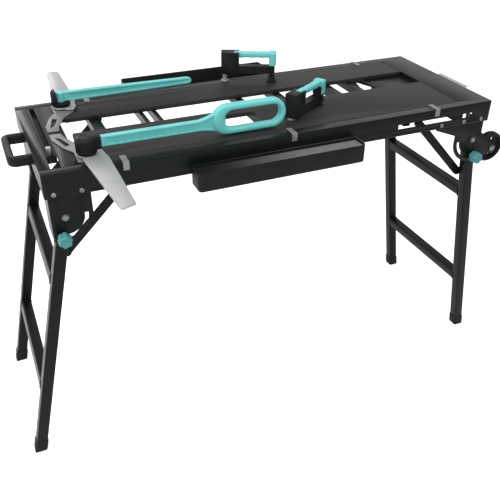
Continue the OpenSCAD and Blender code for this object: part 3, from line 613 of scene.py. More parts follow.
# Shapes that repeat or follow a path come from a tree with named sizes
class ShapeTree(NodeTree):
    def __init__(self, name, **inputs):
        super().__init__(bpy.data.node_groups.new(name, "GeometryNodeTree"))
        face = self.tree.interface
        for key, kind in {"Geometry": "Geometry", **inputs, "Finish": "Material"}.items():
            face.new_socket(key, in_out="INPUT", socket_type="NodeSocket" + kind)
        face.new_socket("Geometry", in_out="OUTPUT", socket_type="NodeSocketGeometry")
        self.given = self.add("NodeGroupInput").outputs

    def size(self, name):
        return Sum(self, self.given[name])

    def vector(self, x=0.0, y=0.0, z=0.0):
        return self.add("ShaderNodeCombineXYZ", sockets={0: x, 1: y, 2: z}).outputs[0]

    # a copy of a shape on each point
    def strewn(self, points, shape, **more):
        return self.add("GeometryNodeInstanceOnPoints", sockets={
            "Points": points, "Instance": shape, **more}).outputs[0]

    def endWith(self, geometry):
        real = self.add("GeometryNodeRealizeInstances", sockets={"Geometry": geometry}).outputs[0]
        dressed = self.add("GeometryNodeSetMaterial", sockets={
            "Geometry": real, "Material": self.given["Finish"]})
        self.add("NodeGroupOutput", sockets={"Geometry": dressed.outputs[0]})
        return self

    def fill(self, modifier, sizes):
        for item in self.tree.interface.items_tree:
            if item.item_type == "SOCKET" and item.in_out == "INPUT" and item.name in sizes:
                value = sizes[item.name]
                if item.socket_type == "NodeSocketFloat":
                    value = value * mm
                if item.socket_type == "NodeSocketVector":
                    value = tuple(part * mm for part in value)
                modifier[item.identifier] = value

    # the tree's shape on one body, as a plain mesh; start is a path, or points if each has a turn, in metres
    def grow(self, name, body, slot, place=Matrix(), start=((0, 0, 0),), turns=None, edge=None, **sizes):
        mesh = bpy.data.meshes.new(name)
        mesh.from_pydata(start, [] if turns else [(i, i + 1) for i in range(len(start) - 1)], [])
        if turns:
            attribute = mesh.attributes.new("turn", "FLOAT_VECTOR", "POINT")
            for item, turned in zip(attribute.data, turns):
                item.vector = turned
        piece = linked(name, mesh)
        modifier = piece.modifiers.new("shape", "NODES")
        modifier.node_group = self.tree
        self.fill(modifier, {**sizes, "Finish": paints[slot]})
        if edge:
            softenEdges(piece, edge, 1)
        settle(piece)
        piece.data.transform(place)
        if place.determinant() < 0:
            piece.data.flip_normals()
        if not edge:
            piece.data.shade_smooth()
            piece.data.set_sharp_from_angle(angle=radians(crease))
        wear(piece, body, slot)
        return piece


# Blocks round a circle in local XY, each turned to face outwards
def blockRing():
    tree = ShapeTree("blockRing", Count="Int", Radius="Float", Height="Float", Size="Vector")
    angle = Sum(tree, tree.add("GeometryNodeInputIndex").outputs[0]) * (2 * pi) / tree.size("Count")
    place = tree.vector(tree.calc("COSINE", angle) * tree.size("Radius"),
                        tree.calc("SINE", angle) * tree.size("Radius"), tree.size("Height"))
    points = tree.add("GeometryNodePoints", sockets={"Count": tree.given["Count"], "Position": place})
    block = tree.add("GeometryNodeMeshCube", sockets={"Size": tree.given["Size"]})
    return tree.endWith(tree.strewn(points.outputs[0], block.outputs["Mesh"], Rotation=tree.vector(z=angle)))


# Blocks in a straight row
def blockRow():
    tree = ShapeTree("blockRow", Count="Int", Start="Vector", Step="Vector", Size="Vector")
    line = tree.add("GeometryNodeMeshLine", sockets={
        "Count": tree.given["Count"], "Start Location": tree.given["Start"], "Offset": tree.given["Step"]})
    block = tree.add("GeometryNodeMeshCube", sockets={"Size": tree.given["Size"]})
    return tree.endWith(tree.strewn(line.outputs[0], block.outputs["Mesh"]))


# A made part, such as a bolt head, set on each point and turned as the point says
def partsAt():
    tree = ShapeTree("partsAt", Part="Object")
    part = tree.add("GeometryNodeObjectInfo", sockets={"Object": tree.given["Part"]})
    turned = tree.add("GeometryNodeInputNamedAttribute", {"data_type": "FLOAT_VECTOR"}, {"Name": "turn"})
    return tree.endWith(tree.strewn(tree.given["Geometry"], part.outputs["Geometry"],
                                    Rotation=turned.outputs[0]))


# A bar of rounded section along a path, its corners rounded
def bentBar():
    tree = ShapeTree("bentBar", Width="Float", Height="Float", Rounding="Float", Corner="Float")
    path = tree.add("GeometryNodeMeshToCurve", sockets={"Mesh": tree.given["Geometry"]})
    bent = tree.add("GeometryNodeFilletCurve", {"mode": "POLY"}, {
        "Curve": path.outputs[0], "Count": 10, "Radius": tree.given["Corner"]})
    level = tree.add("GeometryNodeSetCurveNormal", {"mode": "Z_UP"}, {"Curve": bent.outputs[0]})
    box = tree.add("GeometryNodeCurvePrimitiveQuadrilateral", {"mode": "RECTANGLE"}, {
        "Width": tree.given["Width"], "Height": tree.given["Height"]})
    soft = tree.add("GeometryNodeFilletCurve", {"mode": "POLY"}, {
        "Curve": box.outputs[0], "Count": 4, "Radius": tree.given["Rounding"]})
    bar = tree.add("GeometryNodeCurveToMesh", sockets={
        "Curve": level.outputs[0], "Profile Curve": soft.outputs[0], "Fill Caps": True})
    return tree.endWith(bar.outputs[0])


# A weld: a row of overlapping drops along a path
def weldBead():
    tree = ShapeTree("weldBead", Pitch="Float", Size="Float", Seed="Int")
    path = tree.add("GeometryNodeMeshToCurve", sockets={"Mesh": tree.given["Geometry"]})
    points = tree.add("GeometryNodeCurveToPoints", {"mode": "LENGTH"}, {
        "Curve": path.outputs[0], "Length": tree.given["Pitch"]})
    drop = tree.add("GeometryNodeMeshUVSphere", sockets={
        "Segments": 8, "Rings": 5, "Radius": tree.given["Size"]})
    size = tree.add("FunctionNodeRandomValue", {"data_type": "FLOAT"}, {
        "Min": 0.85, "Max": 1.12, "Seed": tree.given["Seed"]})
    return tree.endWith(tree.strewn(points.outputs[0], drop.outputs["Mesh"], Scale=size.outputs["Value"]))


blockRingTree = blockRing()
blockRowTree = blockRow()
partsAtTree = partsAt()
bentBarTree = bentBar()
weldBeadTree = weldBead()
print("shape trees built")

# Folded steel of the fixed frame, boards and small sheet parts: width of the broken edge
sheetEdges = {
    "front_side_rail": 0.9, "back_side_rail": 0.9, "left_end_beam": 0.9, "right_end_beam": 0.9,
    "end_track_insert": 0.6, "cross_members": 0.7, "strut_guides": 0.5, "slot_floor_plate": 0.6,
    "front_work_panel": 1.3, "back_work_panel": 1.3,
    "left_front_leg_bracket": 0.8, "left_back_leg_bracket": 0.8,
    "right_front_leg_bracket": 0.8, "right_back_leg_bracket": 0.8,
    "rail_clips": 0.5, "jaw_mount_plates": 0.6, "right_end_strip": 0.6, "track_stop_bolt": 0.8,
    "front_jaw_blade": 0.5, "back_jaw_blade": 0.5, "back_jaw_hub": 1.4,
    "rear_clamp_arm": 1.8, "slot_clamp_arm": 1.8,
}
sheetFinishes = {"rail_clips": "dulled_steel", "jaw_mount_plates": "dulled_steel"}
for name, width in sheetEdges.items():
    softened(name, width, sheetFinishes.get(name))
print("sheet parts softened:", len(sheetEdges))

legLook = {
    "post": 30,
    "wall": 2,
    "corner": 3.2,
    "innerY": 191,  # inner face of the posts, from the middle of the bench
    "over": 20,  # tube above the pivot
    "overFloor": 20,  # lower end of the tube, inside the foot
    "barsAt": {"upper": 190, "lower": 530},
    # lug for the strut
    "lugDown": 115,
    "lugIn": 20,
    "lugWidth": 24,
    "lugThick": 3,
    "lugRim": 0.5,
    # radius and distance from the middle of the bench
    "rivet": [(2.5, 179.5), (5.5, 179.9), (7, 181.1), (7, 182), (4, 182), (4, 191)],
    "plug": 10,
    "plugDown": 0.6,  # below the tube's end
    "plugGap": 0.3,
    "plugCorner": 1.2,
    "plugRim": 0.4,
    # a moulded foot: height over the floor and how far its side is drawn in
    "foot": [(0, 1.6), (1.2, 0.3), (9, 0), (10, 0.9), (12, 0.9), (13, 0), (18, 0), (19, 0.9), (21, 0.9),
             (22, 0), (27, 0), (28, 0.9), (30, 0.9), (31, 0), (34.6, 0), (36, 1.4)],
    "footSide": 34,
    "footCorner": 5,
    "weldOver": 0.6,  # its path is this much wider than the tube
    "weldIn": 0.4,  # and this far from the posts
    "weld": {"Pitch": 2.4, "Size": 1.7, "Seed": 3},
}


# A level ring of the foot at a height over the floor, in the leaning leg's own axes
def footRing(height, inset, side, drop, middle, look):
    width = look["footSide"] - 2 * inset
    return [(x, y, -drop + height / cos(lean[side]) + x * tan(lean[side]))
            for x, y in roundedOutline(width, width, look["footCorner"], middle)]


# A square tube along local Z, open at both ends
def tubeShell(shape, look, low, high, middle, place):
    inside = look["post"] - 2 * look["wall"]
    outer = roundedOutline(look["post"], look["post"], look["corner"], middle)
    inner = roundedOutline(inside, inside, look["corner"] - look["wall"], middle)
    shape.stack([(outer, low), (outer, high), (inner, high), (inner, low)], place, looped=True)


# The bars between the posts, with a weld round each end
def makeCrossTubes(side, body, look):
    reach, outside = look["innerY"], look["post"] + look["weldOver"]
    ring = roundedOutline(outside, outside, look["corner"])
    welds = []
    for level, at in look["barsAt"].items():
        bar = Shape()
        place = pivotPlace(side, "back", leaning=True) @ shift(z=-at) @ outwards
        tubeShell(bar, look, -reach, reach, (0, 0), place)
        addPiece(f"{side}_{level}_cross_tube", bar, body, "frame_black", [f"{side}_leg_{level}_bar"])
        for end in (look["weldIn"] - reach, reach - look["weldIn"]):
            welds.append([spot(place, x, y, end) for x, y in ring + ring[:1]])
    for i, weld in enumerate(welds):
        weldBeadTree.grow(f"{side}_weld_{i + 1}", body, "frame_black", start=weld, **look["weld"])


def makeLegs(look=legLook):
    over, innerY = look["over"], look["innerY"]
    plug = look["post"] - 2 * look["wall"] - look["plugGap"]
    middle = (0, innerY + look["post"] / 2)
    for side in sides:
        body = side + "_leg_frame"
        drop = jointAt(side + "_leg_fold").z / cos(lean[side]) / mm  # pivot to floor along the leg
        feet, plugs, rivets = Shape(), Shape(), Shape()
        for row in rows:
            place = pivotPlace(side, row, leaning=True)
            post = Shape()
            tubeShell(post, look, look["overFloor"] - drop, over, middle, place)
            post.plate(lambda inset: barOutline((0, 0), (look["lugIn"], 0), look["lugWidth"], inset),
                       0, look["lugThick"], look["lugRim"],
                       place @ shift(0, innerY, -look["lugDown"]) @ inwards)
            addPiece(f"{side}_{row}_post_tube", post, body, "frame_black", [f"{side}_leg_{row}_post"])
            plugs.plate(roundedPlan(plug, plug, look["plugCorner"], middle),
                        over - look["plug"], over - look["plugDown"], look["plugRim"], place)
            feet.shell([footRing(height, inset, side, drop, middle, look)
                        for height, inset in look["foot"]], place)
            rivets.lathe(look["rivet"], place @ shift(look["lugIn"], 0, -look["lugDown"]) @ outwards, 32)
        addPiece(side + "_tube_plugs", plugs, body, "plastic_black")
        addPiece(side + "_moulded_feet", feet, body, "plastic_black", [side + "_leg_feet"])
        addPiece(side + "_strut_rivets", rivets, body, "zinc_bolts", [side + "_leg_rivets"])
        makeCrossTubes(side, body, look)
    print("legs made")


makeLegs()

strutLook = {
    "width": 24,
    "thick": 5,
    "rim": 0.9,
    "outerY": 187.5,  # outer face, from the middle of the bench
    "upper": (175, 65),  # upper eye, from the leg's pivot
    # pressed bead: width, distances from the eyes, inset and height of its levels
    "bead": 8,
    "beadFrom": 34,
    "beadTo": 30,
    "beadLevels": [(0, 4), (0, 5), (1.2, 6.28), (2.6, 6.6)],
    "roller": [(6, -4), (7, -3.2), (7, 8.2), (6, 9)],
}


# The strut's lower eye on the leg's lug, from the leg's pivot
def lugEye(side, look=legLook):
    return (Matrix.Rotation(lean[side], 3, "Y") @ Vector((look["lugIn"], 0, -look["lugDown"]))).xz


def makeStruts(look=strutLook):
    upper = Vector(look["upper"])
    for side in sides:
        lower = lugEye(side)
        along = (upper - lower).normalized()
        ends = lower + along * look["beadFrom"], upper - along * look["beadTo"]
        for row in rows:
            place = pivotPlace(side, row) @ shift(y=look["outerY"]) @ inwards
            strut = Shape()
            strut.plate(lambda inset: barOutline(lower, upper, look["width"], inset),
                        0, look["thick"], look["rim"], place)
            bead = [(barOutline(*ends, look["bead"], inset), z) for inset, z in look["beadLevels"]]
            strut.stack(bead, place)
            strut.lathe(look["roller"], place @ shift(*upper), 40)
            addPiece(f"{side}_{row}_strut_bar", strut, f"{side}_{row}_strut_arm", "frame_black",
                     [f"{side}_{row}_strut"])
    print("struts made")


makeStruts()

knobLook = {
    "radius": 17,
    "lobes": 6,
    "lobeDepth": 3,
    "lobeShape": 1.6,  # a higher power makes the valleys narrower
    "railY": 224.5,  # inner face of the rail's wall, from the middle of the bench
    "down": 50,
    # height over the rail, radius against the full one, share of the lobes
    "levels": [(6, 0.62, 0), (6.8, 0.84, 0.4), (8.6, 0.97, 0.9), (11, 1, 1), (27, 1, 1), (30.5, 0.97, 0.95),
               (32.8, 0.88, 0.8), (33.8, 0.76, 0.55), (34, 0.62, 0.2), (33.2, 0.56, 0), (32.6, 0.5, 0)],
    "stud": [(4, -14.5), (4, 2.5)],
    "collar": [(8.4, 0.5), (9, 1.1), (9, 6.4)],
}


def knobRing(height, share, lobed, look, steps=96):
    ring = []
    for i in range(steps):
        angle = 2 * pi * i / steps
        valley = (0.5 + 0.5 * cos(look["lobes"] * angle)) ** look["lobeShape"]
        r = look["radius"] * share - look["lobeDepth"] * lobed * valley
        ring.append((r * cos(angle), r * sin(angle), height))
    return ring


def makeKnobs(look=knobLook):
    rings = [knobRing(*level, look) for level in look["levels"]]
    for side in sides:
        for row in rows:
            place = pivotPlace(side, row, leaning=True) @ shift(0, look["railY"], -look["down"]) @ outwards
            knob = Shape()
            knob.shell(rings, place)
            knob.lathe(look["stud"], place, 32)
            knob.lathe(look["collar"], place, 40)
            # the knobs take the darker teal of painted shade
            addPiece(f"{side}_{row}_star_knob", knob, f"{side}_{row}_knob_body", "teal_plastic",
                     [f"{side}_{row}_knob"], sharp=40, finish="shaded_knob_teal")
    print("knobs made")


makeKnobs()

wheelLook = {
    "outerY": 220.5,
    "width": 24,
    "tyre": [(37, -10.6), (39, -12), (42, -11.4), (44.2, -9), (45, -6), (45, 6), (44.2, 9), (42, 11.4),
             (39, 12), (37, 10.6), (36, 8), (36, -8)],
    "rim": [(36.6, -8.6), (36.6, 8.6), (34, 8.6), (32.6, 4), (32.6, -4), (34, -8.6)],
    "hub": [(5.08, -12), (5.08, 12), (12.6, 12), (13.8, 10.8), (14.6, 3.5), (14.6, -3.5), (13.8, -10.8),
            (12.6, -12)],
    "openings": 5,
    "openingAt": 25,
    "openingRadius": 6.5,
    "openingRim": (1.22, 1.2),  # radius against the opening's, height over the web
    "web": (13, 34),  # inner and outer radius
    "webHalf": 3,
    "tread": {"Count": 34, "Radius": 45, "Size": (2, 5, 13), "edge": 0.3},
}


# One sector of the wheel's web with a round opening that has a raised rim
def holedSector(shape, place, sector, look):
    sideSteps = 8
    (inner, outer), (rimShare, rimHigh) = look["web"], look["openingRim"]
    at, radius, half = look["openingAt"], look["openingRadius"], look["webHalf"]
    corners = [(inner, -sector / 2), (outer, -sector / 2), (outer, sector / 2), (inner, sector / 2)]
    edge = []
    for (r1, a1), (r2, a2) in zip(corners, corners[1:] + corners[:1]):
        for i in range(sideSteps):
            share = i / sideSteps
            r, a = r1 + (r2 - r1) * share, a1 + (a2 - a1) * share
            edge.append((r * cos(a), r * sin(a)))
    ways = [Vector((x - at, y)).normalized() for x, y in edge]
    hole, rim = ([(at + way.x * r, way.y * r) for way in ways] for r in (radius, radius * rimShare))
    high = half + rimHigh
    shape.stack([(edge, half), (rim, half), (rim, high), (hole, high), (hole, -high), (rim, -high),
                 (rim, -half), (edge, -half)], place, looped=True)


def makeWheels(look=wheelLook):
    sector = 2 * pi / look["openings"]
    for row in rows:
        body = row + "_transport_wheel"
        place = axlePlace(row) @ shift(y=look["outerY"] - look["width"] / 2) @ outwards
        wheel = Shape()
        for part in ("tyre", "rim", "hub"):
            wheel.lathe(look[part], place, 96, looped=True)
        for i in range(look["openings"]):
            holedSector(wheel, place @ Matrix.Rotation(i * sector, 4, "Z"), sector, look)
        addPiece(row + "_wheel_moulding", wheel, body, "plastic_black", [row + "_wheel"])
        blockRingTree.grow(row + "_wheel_tread", body, "plastic_black", place, **look["tread"])
    print("wheels made")


makeWheels()

boltLook = {
    "railFace": 227,  # outer face of the rail, from the middle of the bench
    "railY": 224.5,  # inner face of the rail's wall
    "frameBolts": {"left": (-18, 46), "right": (-14, 46, 124)},  # inward from the leg pivots
    "frameBoltUp": 64,
    "stripBoltIn": 16,  # from the strip's ends and from the top
    # rods: radius and height
    "pivotRod": [(5, 190), (5, 224.5)],
    "frameRod": [(2.4, 217.5), (3, 218.1), (3, 227)],
    "stripRod": [(2.4, -6), (3, -5.4), (3, 2.5)],
    "axleRadius": 5,
    "axleOver": 2,  # past the wheel's inner face
    "innerGap": 1,  # of the nuts and caps on the inner side
    "jawRadius": 6,
    "jawTop": 42,  # over the top
    "jawChamfer": 1,
    "jawNut": [(9, -6), (10, -5.2), (10, 0)],
    # heads and nuts: round or six-sided rings of a radius at a height
    "heads": {
        "buttonHead": [("round", 6, 0), ("round", 6, 0.9), ("round", 5.2, 2.1), ("round", 3.8, 2.9),
                       ("round", 3, 3), ("hex", 2.4, 3), ("hex", 2.4, 1.4)],
        "pivotHead": [("round", 8.5, 0), ("round", 8.5, 1.1), ("round", 7.8, 1.3), ("hex", 7.4, 1.3),
                      ("hex", 7.4, 4.2), ("round", 6.2, 5), ("round", 2, 5)],
        "lockNut": [("round", 6, 0), ("hex", 8.8, 0.5), ("hex", 8.8, 4.4), ("round", 7, 5.1),
                    ("round", 6.8, 6), ("round", 5, 6), ("round", 5, 5.2)],
        "axleNut": [("round", 9, 0), ("round", 9, 1.2), ("hex", 8.6, 1.3), ("hex", 8.6, 3.4),
                    ("round", 6.4, 4), ("round", 5.6, 5), ("round", 2, 5)],
        "axleCap": [("round", 7.2, 0), ("round", 8, 0.7), ("round", 7.8, 2.4), ("round", 6, 4.2),
                    ("round", 3, 5), ("round", 1, 5)],
    },
}


def headRing(kind, radius, height, steps=24):
    ring = []
    for i in range(steps):
        angle = 2 * pi * i / steps
        hexShare = cos(pi / 6) / cos((angle + pi / 6) % (pi / 3) - pi / 6)
        r = radius * (hexShare if kind == "hex" else 1)
        ring.append((r * cos(angle), r * sin(angle), height))
    return ring


# The head is taken away again after its tree has set it out on the spots
def setHeads(name, rings, spots):
    shape = Shape()
    shape.shell([headRing(*ring) for ring in rings])
    head = linked(name, shape.toMesh(name))
    places, turns = zip(*spots)
    partsAtTree.grow(name + "s", "bench_frame", "zinc_bolts", start=places, turns=turns, Part=head)
    bpy.data.objects.remove(head)


def makeBolts(look=boltLook):
    railY, wheelIn = look["railY"], wheelLook["outerY"] - wheelLook["width"]
    spots = {name: [] for name in look["heads"]}
    pivotRods, frameRods, axleRods = Shape(), Shape(), Shape()
    facing = {"back": (-pi / 2, 0, 0), "front": (pi / 2, 0, 0)}  # turns that bring a head's Z outwards
    backing = {"back": facing["front"], "front": facing["back"]}
    for row in rows:
        for side in sides:
            place = pivotPlace(side, row)
            spots["pivotHead"].append((spot(place, y=railY), facing[row]))
            spots["lockNut"].append((spot(place, y=legLook["innerY"] - look["innerGap"]), backing[row]))
            pivotRods.lathe(look["pivotRod"], place @ outwards, 32)
            for x in look["frameBolts"][side]:
                bolt = place @ shift(x, 0, look["frameBoltUp"])
                spots["buttonHead"].append((spot(bolt, y=look["railFace"]), facing[row]))
                frameRods.lathe(look["frameRod"], bolt @ outwards, 24)
        axle = axlePlace(row)
        spots["axleNut"].append((spot(axle, y=railY), facing[row]))
        spots["axleCap"].append((spot(axle, y=wheelIn - look["innerGap"]), backing[row]))
        axleEnds = wheelIn - look["axleOver"], railY
        axleRods.lathe([(look["axleRadius"], y) for y in axleEnds], axle @ outwards, 32)
        jaw, radius, top, chamfer = jawPlace(row), look["jawRadius"], look["jawTop"], look["jawChamfer"]
        low = (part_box(row + "_work_panel")[0].z - topZ) / mm
        pivotRods.lathe([(radius, low), (radius, top - chamfer), (radius - chamfer, top)], jaw, 32)
        pivotRods.shell([headRing("hex", r, low + z) for r, z in look["jawNut"]], jaw)
    inset = look["stripBoltIn"] * mm
    start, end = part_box("right_end_strip")
    for y in (start.y + inset, end.y - inset):
        bolt = Matrix.Translation((start.x, y, topZ - inset))
        spots["buttonHead"].append((spot(bolt, x=look["stripRod"][-1][1]), (0, pi / 2, 0)))
        frameRods.lathe(look["stripRod"], bolt @ alongBench, 24)
    addPiece("pivot_bolt_rods", pivotRods, "bench_frame", "zinc_bolts", ["pivot_bolts"])
    addPiece("frame_bolt_rods", frameRods, "bench_frame", "zinc_bolts", ["frame_bolts"])
    addPiece("axle_rods", axleRods, "bench_frame", "zinc_bolts", ["wheel_axles"])
    for name, rings in look["heads"].items():
        setHeads(name, rings, spots[name])
    print("bolts made")


makeBolts()

handleLook = {
    "out": 47,
    "halfWidth": 70,
    "bar": {"Width": 18, "Height": 26, "Rounding": 6, "Corner": 13},  # it stands on the solid's underside
    "ribs": 9,
    "pitch": 9,
    "ribSize": (13, 3, 26.2),
    "ribDown": 0.6,
    "ribEdge": 0.7,
}


def makeHandle(look=handleLook):
    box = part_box("carry_handle")
    out, half = look["out"], look["halfWidth"]
    place = Matrix.Translation((box[1].x, 0, box[0].z)) @ shift(z=look["bar"]["Height"] / 2)
    path = [spot(place, x, y) for x, y in ((0, -half), (-out, -half), (-out, half), (0, half))]
    handle = bentBarTree.grow("carry_grip", "bench_frame", "plastic_black", start=path, **look["bar"])
    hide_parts("carry_handle")
    first = -look["pitch"] * (look["ribs"] - 1) / 2
    blockRowTree.grow("carry_grip_ribs", "bench_frame", "plastic_black", place, edge=look["ribEdge"],
                      Count=look["ribs"], Start=(-out, first, -look["ribDown"]),
                      Step=(0, look["pitch"], 0), Size=look["ribSize"])
    print("carry handle made")


makeHandle()

trayLook = {
    "wall": 2,
    "frontRound": 5,  # lower outer edge
    "endRound": 4,  # lower edge at the ends
    "corner": 9,  # upright corners on the outer side
    "railCorner": 1.2,  # upright corners against the rail
    "rim": (0.7, 0.4),  # rounding of the rim: height and inset
    "pocket": {"front": 8, "back": 60},
    # heights of the rings over the foot and over the pocket's floor
    "outerLevels": (0, 0.4, 1.6, 3.5, 6, 9, 12),
    "innerLevels": (10, 7, 4.5, 2.4, 1, 0.3, 0),
}


# How far a rounded lower edge is drawn in at a height over its foot
def drawnIn(radius, height):
    return radius - sqrt(radius ** 2 - min(radius, max(0, radius - height)) ** 2)


# The tray's plan at a height, inset by a wall: anticlockwise from the outer right corner
def trayOutline(size, z, inset, corner, look):
    steps = 6
    length, depth = size.xy
    ends = inset + drawnIn(max(look["endRound"] - inset, 1), z - inset)
    front = inset + drawnIn(look["frontRound"] - inset, z - inset)
    x0, x1, y0, y1 = ends, length - ends, inset, depth - front
    small = look["railCorner"]
    points = []
    corners = (x1, y1, corner, 0), (x0, y1, corner, 90), (x0, y0, small, 180), (x1, y0, small, 270)
    for x, y, r, start in corners:
        for i in range(steps + 1):
            angle = radians(start + 90 * i / steps)
            px = x + (r if x == x0 else -r) + r * cos(angle)
            points.append((px, y + (r if y == y0 else -r) + r * sin(angle), z))
    return points


def makeTrays(look=trayLook):
    wall, corner, (rimHigh, rimInset) = look["wall"], look["corner"], look["rim"]
    for row in rows:
        low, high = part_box(row + "_tool_tray")
        size = (high - low) / mm
        place = Matrix.Translation((low.x, high.y if row == "front" else low.y, low.z)) @ facingRow[row]
        rim, floor = size.z - rimHigh, size.z - look["pocket"][row]
        outer = [(z, 0) for z in (*look["outerLevels"], rim)] + [(size.z, rimInset)]
        inner = [(size.z, wall - rimInset), (rim, wall)]
        inner += [(floor + z, wall) for z in look["innerLevels"] if floor + z < rim]
        tray = Shape()
        tray.shell([trayOutline(size, z, inset, corner, look) for z, inset in outer]
                   + [trayOutline(size, z, inset, corner - wall, look) for z, inset in inner], place)
        # the trays' level faces carry a painted sheen with their dust
        addPiece(row + "_tray_moulding", tray, "bench_frame", "plastic_black", [row + "_tool_tray"],
                 finish="tray_black")
    print("trays made")


makeTrays()

hubLook = {
    "up": 10,  # foot of the hub over the top
    "profile": [(20.5, 0), (21.6, 0.8), (22, 3.4), (24.4, 4.2), (25, 5.2), (25, 8.6), (24, 9.4), (24, 29.4),
                (25, 30.2), (25, 33), (24.4, 35.4), (22.4, 38), (19, 40), (14.6, 41.4), (13.6, 41.2),
                (13, 40.4), (3, 40.4)],
    "ridges": {"Count": 30, "Radius": 24, "Height": 19.4, "Size": (1.8, 2, 19.6), "edge": 0.3},
    # socket of the lever
    "socketFrom": 4,  # from the pivot
    "socketReach": 34,
    "socketWidth": 24,
    "socketHeight": 34,
    "socketCorner": 4,
    "socketRim": 1,
    "leverUp": 25,  # height of the lever's middle over the hub's foot
}


def makeFrontHub(look=hubLook):
    place = jawPlace("front") @ shift(z=look["up"])
    hub = Shape()
    hub.lathe(look["profile"], place, 72)
    hub.plate(roundedPlan(look["socketHeight"], look["socketWidth"], look["socketCorner"]),
              look["socketFrom"], look["socketReach"], look["socketRim"],
              place @ shift(z=look["leverUp"]) @ alongBench)
    addPiece("front_hub_cap", hub, "front_jaw_arm", "plastic_black", ["front_jaw_hub"])
    blockRingTree.grow("front_hub_ridges", "front_jaw_arm", "plastic_black", place, **look["ridges"])
    print("front hub made")


makeFrontHub()

leverLook = {
    "thick": 14,
    "web": 7,
    "flange": 4.5,
    "soft": 1.6,  # rounding of the flanges
    "softRise": 0.9,  # its height against its width
    "flangeSlope": (0.1, 0.9),  # a flange's inner face: down at the rim, up at the web
    "middle": 35,  # height of the levers' middle over the top
    # the closed grip: length, height, corner radius and middle of its outer and inner edge
    "gripOuter": (200, 77, 38, (412, 41.5)),
    "gripInner": (153, 47, 23, (420.5, 41.5)),
    "gripThick": 24,
    # distance from the pivot, height of the bar, its middle over the top, share that the web is drawn in
    "frontBar": [(16, 26, 35, 0), (44, 26, 35, 0), (52, 26, 35, 1), (250, 26, 35, 1), (278, 26, 35.2, 1),
                 (300, 34, 36.6, 1), (318, 45, 38.4, 0.6), (330, 54, 39.8, 0.2), (346, 60, 41, 0)],
    "backBar": [(0, 25, 35, 0), (18, 25, 35, 0), (30, 25.6, 35, 1), (200, 21.8, 35, 1), (346, 18, 35, 1),
                (356, 17.4, 35, 0.3), (364, 16.4, 35, 0), (369, 12.6, 35, 0), (371.4, 7, 35, 0),
                (372, 2.4, 35, 0)],
    "backEye": [(11, 22), (12, 23), (12, 46), (10, 47.8), (3, 48)],
    "ribs": {"front": (72, 19), "back": (52, 27)},  # first rib and pitch
    "ribCount": 11,
    "ribSize": (2.4, 12.6, 16),
    "ribEdge": 0.4,
}


# Section of a lever bar: two flanges and a web, or a plain bar where nothing is drawn in
def leverSection(x, height, middle, drawn, look):
    half, flange = height / 2, min(look["flange"], height / 4)
    thick, soft = look["thick"] / 2, min(look["soft"], height / 4)
    web = thick + (look["web"] / 2 - thick) * drawn
    z0, z1, z2, z3 = middle - half, middle - half + flange, middle + half - flange, middle + half
    rise, (down, up) = soft * look["softRise"], look["flangeSlope"]
    right = [(thick - soft, z0), (thick, z0 + rise), (thick, z1 - down), (web, z1 + up),
             (web, z2 - up), (thick, z2 + down), (thick, z3 - rise), (thick - soft, z3)]
    return [(x, y, z) for y, z in right] + [(x, -y, z) for y, z in right[::-1]]


# A point of a squarish section from the cosine and sine of its angle
def squared(across, up, power=0.62):
    return abs(across) ** power * (1 if across > 0 else -1), abs(up) ** power * (1 if up > 0 else -1)


# A closed loop of squarish section between two rounded outlines
def gripLoop(look, steps=24):
    outer, inner = (roundedOutline(*look[edge], steps=12) for edge in ("gripOuter", "gripInner"))
    rings = []
    for i in range(steps):
        wide, tall = squared(cos(2 * pi * i / steps), sin(2 * pi * i / steps))
        rings.append([((xo + xi + (xo - xi) * wide) / 2, look["gripThick"] / 2 * tall,
                       (zo + zi + (zo - zi) * wide) / 2) for (xo, zo), (xi, zi) in zip(outer, inner)])
    return rings


def makeLevers(look=leverLook):
    levers = {row: Shape() for row in rows}
    for row, lever in levers.items():
        lever.shell([leverSection(*station, look) for station in look[row + "Bar"]], jawPlace(row))
    levers["front"].shell(gripLoop(look), jawPlace("front"), looped=True)
    levers["back"].lathe(look["backEye"], jawPlace("back"), 40)
    for row, lever in levers.items():
        addPiece(row + "_lever_moulding", lever, row + "_jaw_arm", "teal_plastic", [row + "_jaw_lever"],
                 sharp=28)
    for row, (first, pitch) in look["ribs"].items():
        blockRowTree.grow(row + "_lever_ribs", row + "_jaw_arm", "teal_plastic", jawPlace(row),
                          edge=look["ribEdge"], Count=look["ribCount"], Start=(first, 0, look["middle"]),
                          Step=(pitch, 0, 0), Size=look["ribSize"])
    print("levers made")


makeLevers()

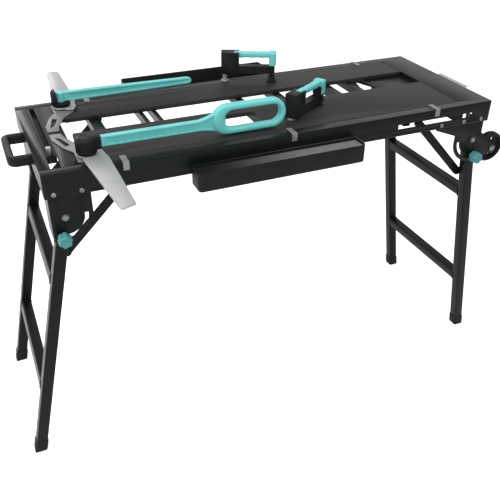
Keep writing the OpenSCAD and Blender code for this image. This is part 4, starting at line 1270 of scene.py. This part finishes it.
clampLook = {
    "post": [(6, -11), (7, -10), (7, 0.3), (10.4, 0.3), (11, 0.9), (11, 3.7), (10.4, 4.3), (7, 4.3), (7, 45),
             (6, 46)],
    "lift": {"rear": 20, "slot": 0},
    "turn": {"rear": -24, "slot": 32},  # degrees
    # the grip from end to end: share along it, width and height against the full ones
    "grip": [(0, 0.5, 0.42), (0.015, 0.8, 0.8), (0.05, 1, 1), (0.2, 1, 1), (0.32, 0.9, 0.9), (0.45, 1, 1),
             (0.57, 0.9, 0.9), (0.7, 1, 1), (0.82, 0.9, 0.92), (0.93, 1, 1), (0.985, 0.8, 0.8),
             (1, 0.5, 0.42)],
    "gripEnds": (25.5, 150.5),
    "gripUp": 61.5,
    "gripWidth": 20,
    "gripHeight": 17,
    "gripCorner": 5.5,
    # the grip's end, which closes over the arm's far post
    "hookEnds": (132.2, 149.9),
    "hookSection": [(-15.4, 31.5), (-13.2, 31.5), (-13.2, 53.1), (13.2, 53.1), (13.2, 31.5), (15.4, 31.5),
                    (15.4, 67), (12.4, 70.4), (-12.4, 70.4), (-15.4, 67)],
    "hookPlateEnds": (149.5, 152.9),
    "hookPlate": [(-14.6, 33), (14.6, 33), (14.6, 69.4), (-14.6, 69.4)],
    "hookEdge": 1,
    "padAt": 141,
    "padUp": 0.3,
    "pad": [(13.6, 0), (15, 1.2), (15, 2.2), (14.2, 2.6), (14.2, 3.2), (15, 3.6), (15, 4.6), (13.4, 6)],
    "stem": {"rear": [(10.4, 6), (11.6, 8.6), (9.8, 11), (11, 13.4), (9.4, 15.8), (10.4, 18.2), (8.6, 20.6)],
             "slot": [(7, 6)]},
    "stemRadius": 5,
    "stemStep": 1.4,  # slope above its last fold
    "stemTop": 36,
}


def gripSection(x, wide, tall, look):
    outline = roundedOutline(look["gripWidth"] * wide, look["gripHeight"] * tall,
                             look["gripCorner"] * min(wide, tall))
    return [(x, y, look["gripUp"] + z) for y, z in outline]


# A section in local YZ drawn out between two ends along X
def drawnOut(shape, section, ends, place):
    shape.shell([[(x, y, z) for y, z in section] for x in ends], place)


def makeClamps(look=clampLook):
    start, end = look["gripEnds"]
    for clamp, lift in look["lift"].items():
        name = clamp + "_clamp"
        pivot = jointAt(name + "_swivel")
        place = Matrix.Translation((pivot.x, pivot.y, topZ)) @ turn(look["turn"][clamp], "Z")
        raised = place @ shift(z=lift)
        post, grip, hook, pad = Shape(), Shape(), Shape(), Shape()
        post.lathe(look["post"], place)
        grip.shell([gripSection(start + (end - start) * share, wide, tall, look)
                    for share, wide, tall in look["grip"]], raised)
        drawnOut(hook, look["hookSection"], look["hookEnds"], raised)
        drawnOut(hook, look["hookPlate"], look["hookPlateEnds"], raised)
        stem, thin = look["stem"][clamp], look["stemRadius"]
        stem = stem + [(thin, stem[-1][1] + look["stemStep"]), (thin, lift + look["stemTop"])]
        pad.lathe(look["pad"] + stem, place @ shift(look["padAt"], 0, look["padUp"]))
        addPiece(name + "_rod", post, name + "_spindle", "bright_steel", [name + "_post"])
        addPiece(name + "_grip_moulding", grip, name + "_grip", "teal_plastic", [name + "_lever"], sharp=50)
        addPiece(name + "_grip_hook", hook, name + "_grip", "teal_plastic", edge=look["hookEdge"])
        addPiece(name + "_foot_pad", pad, name + "_carrier", "plastic_black", [name + "_pad"])
    print("clamps made")


makeClamps()
print("nodes still shown:", [name for name in nodes if not nodes[name].hide_render])
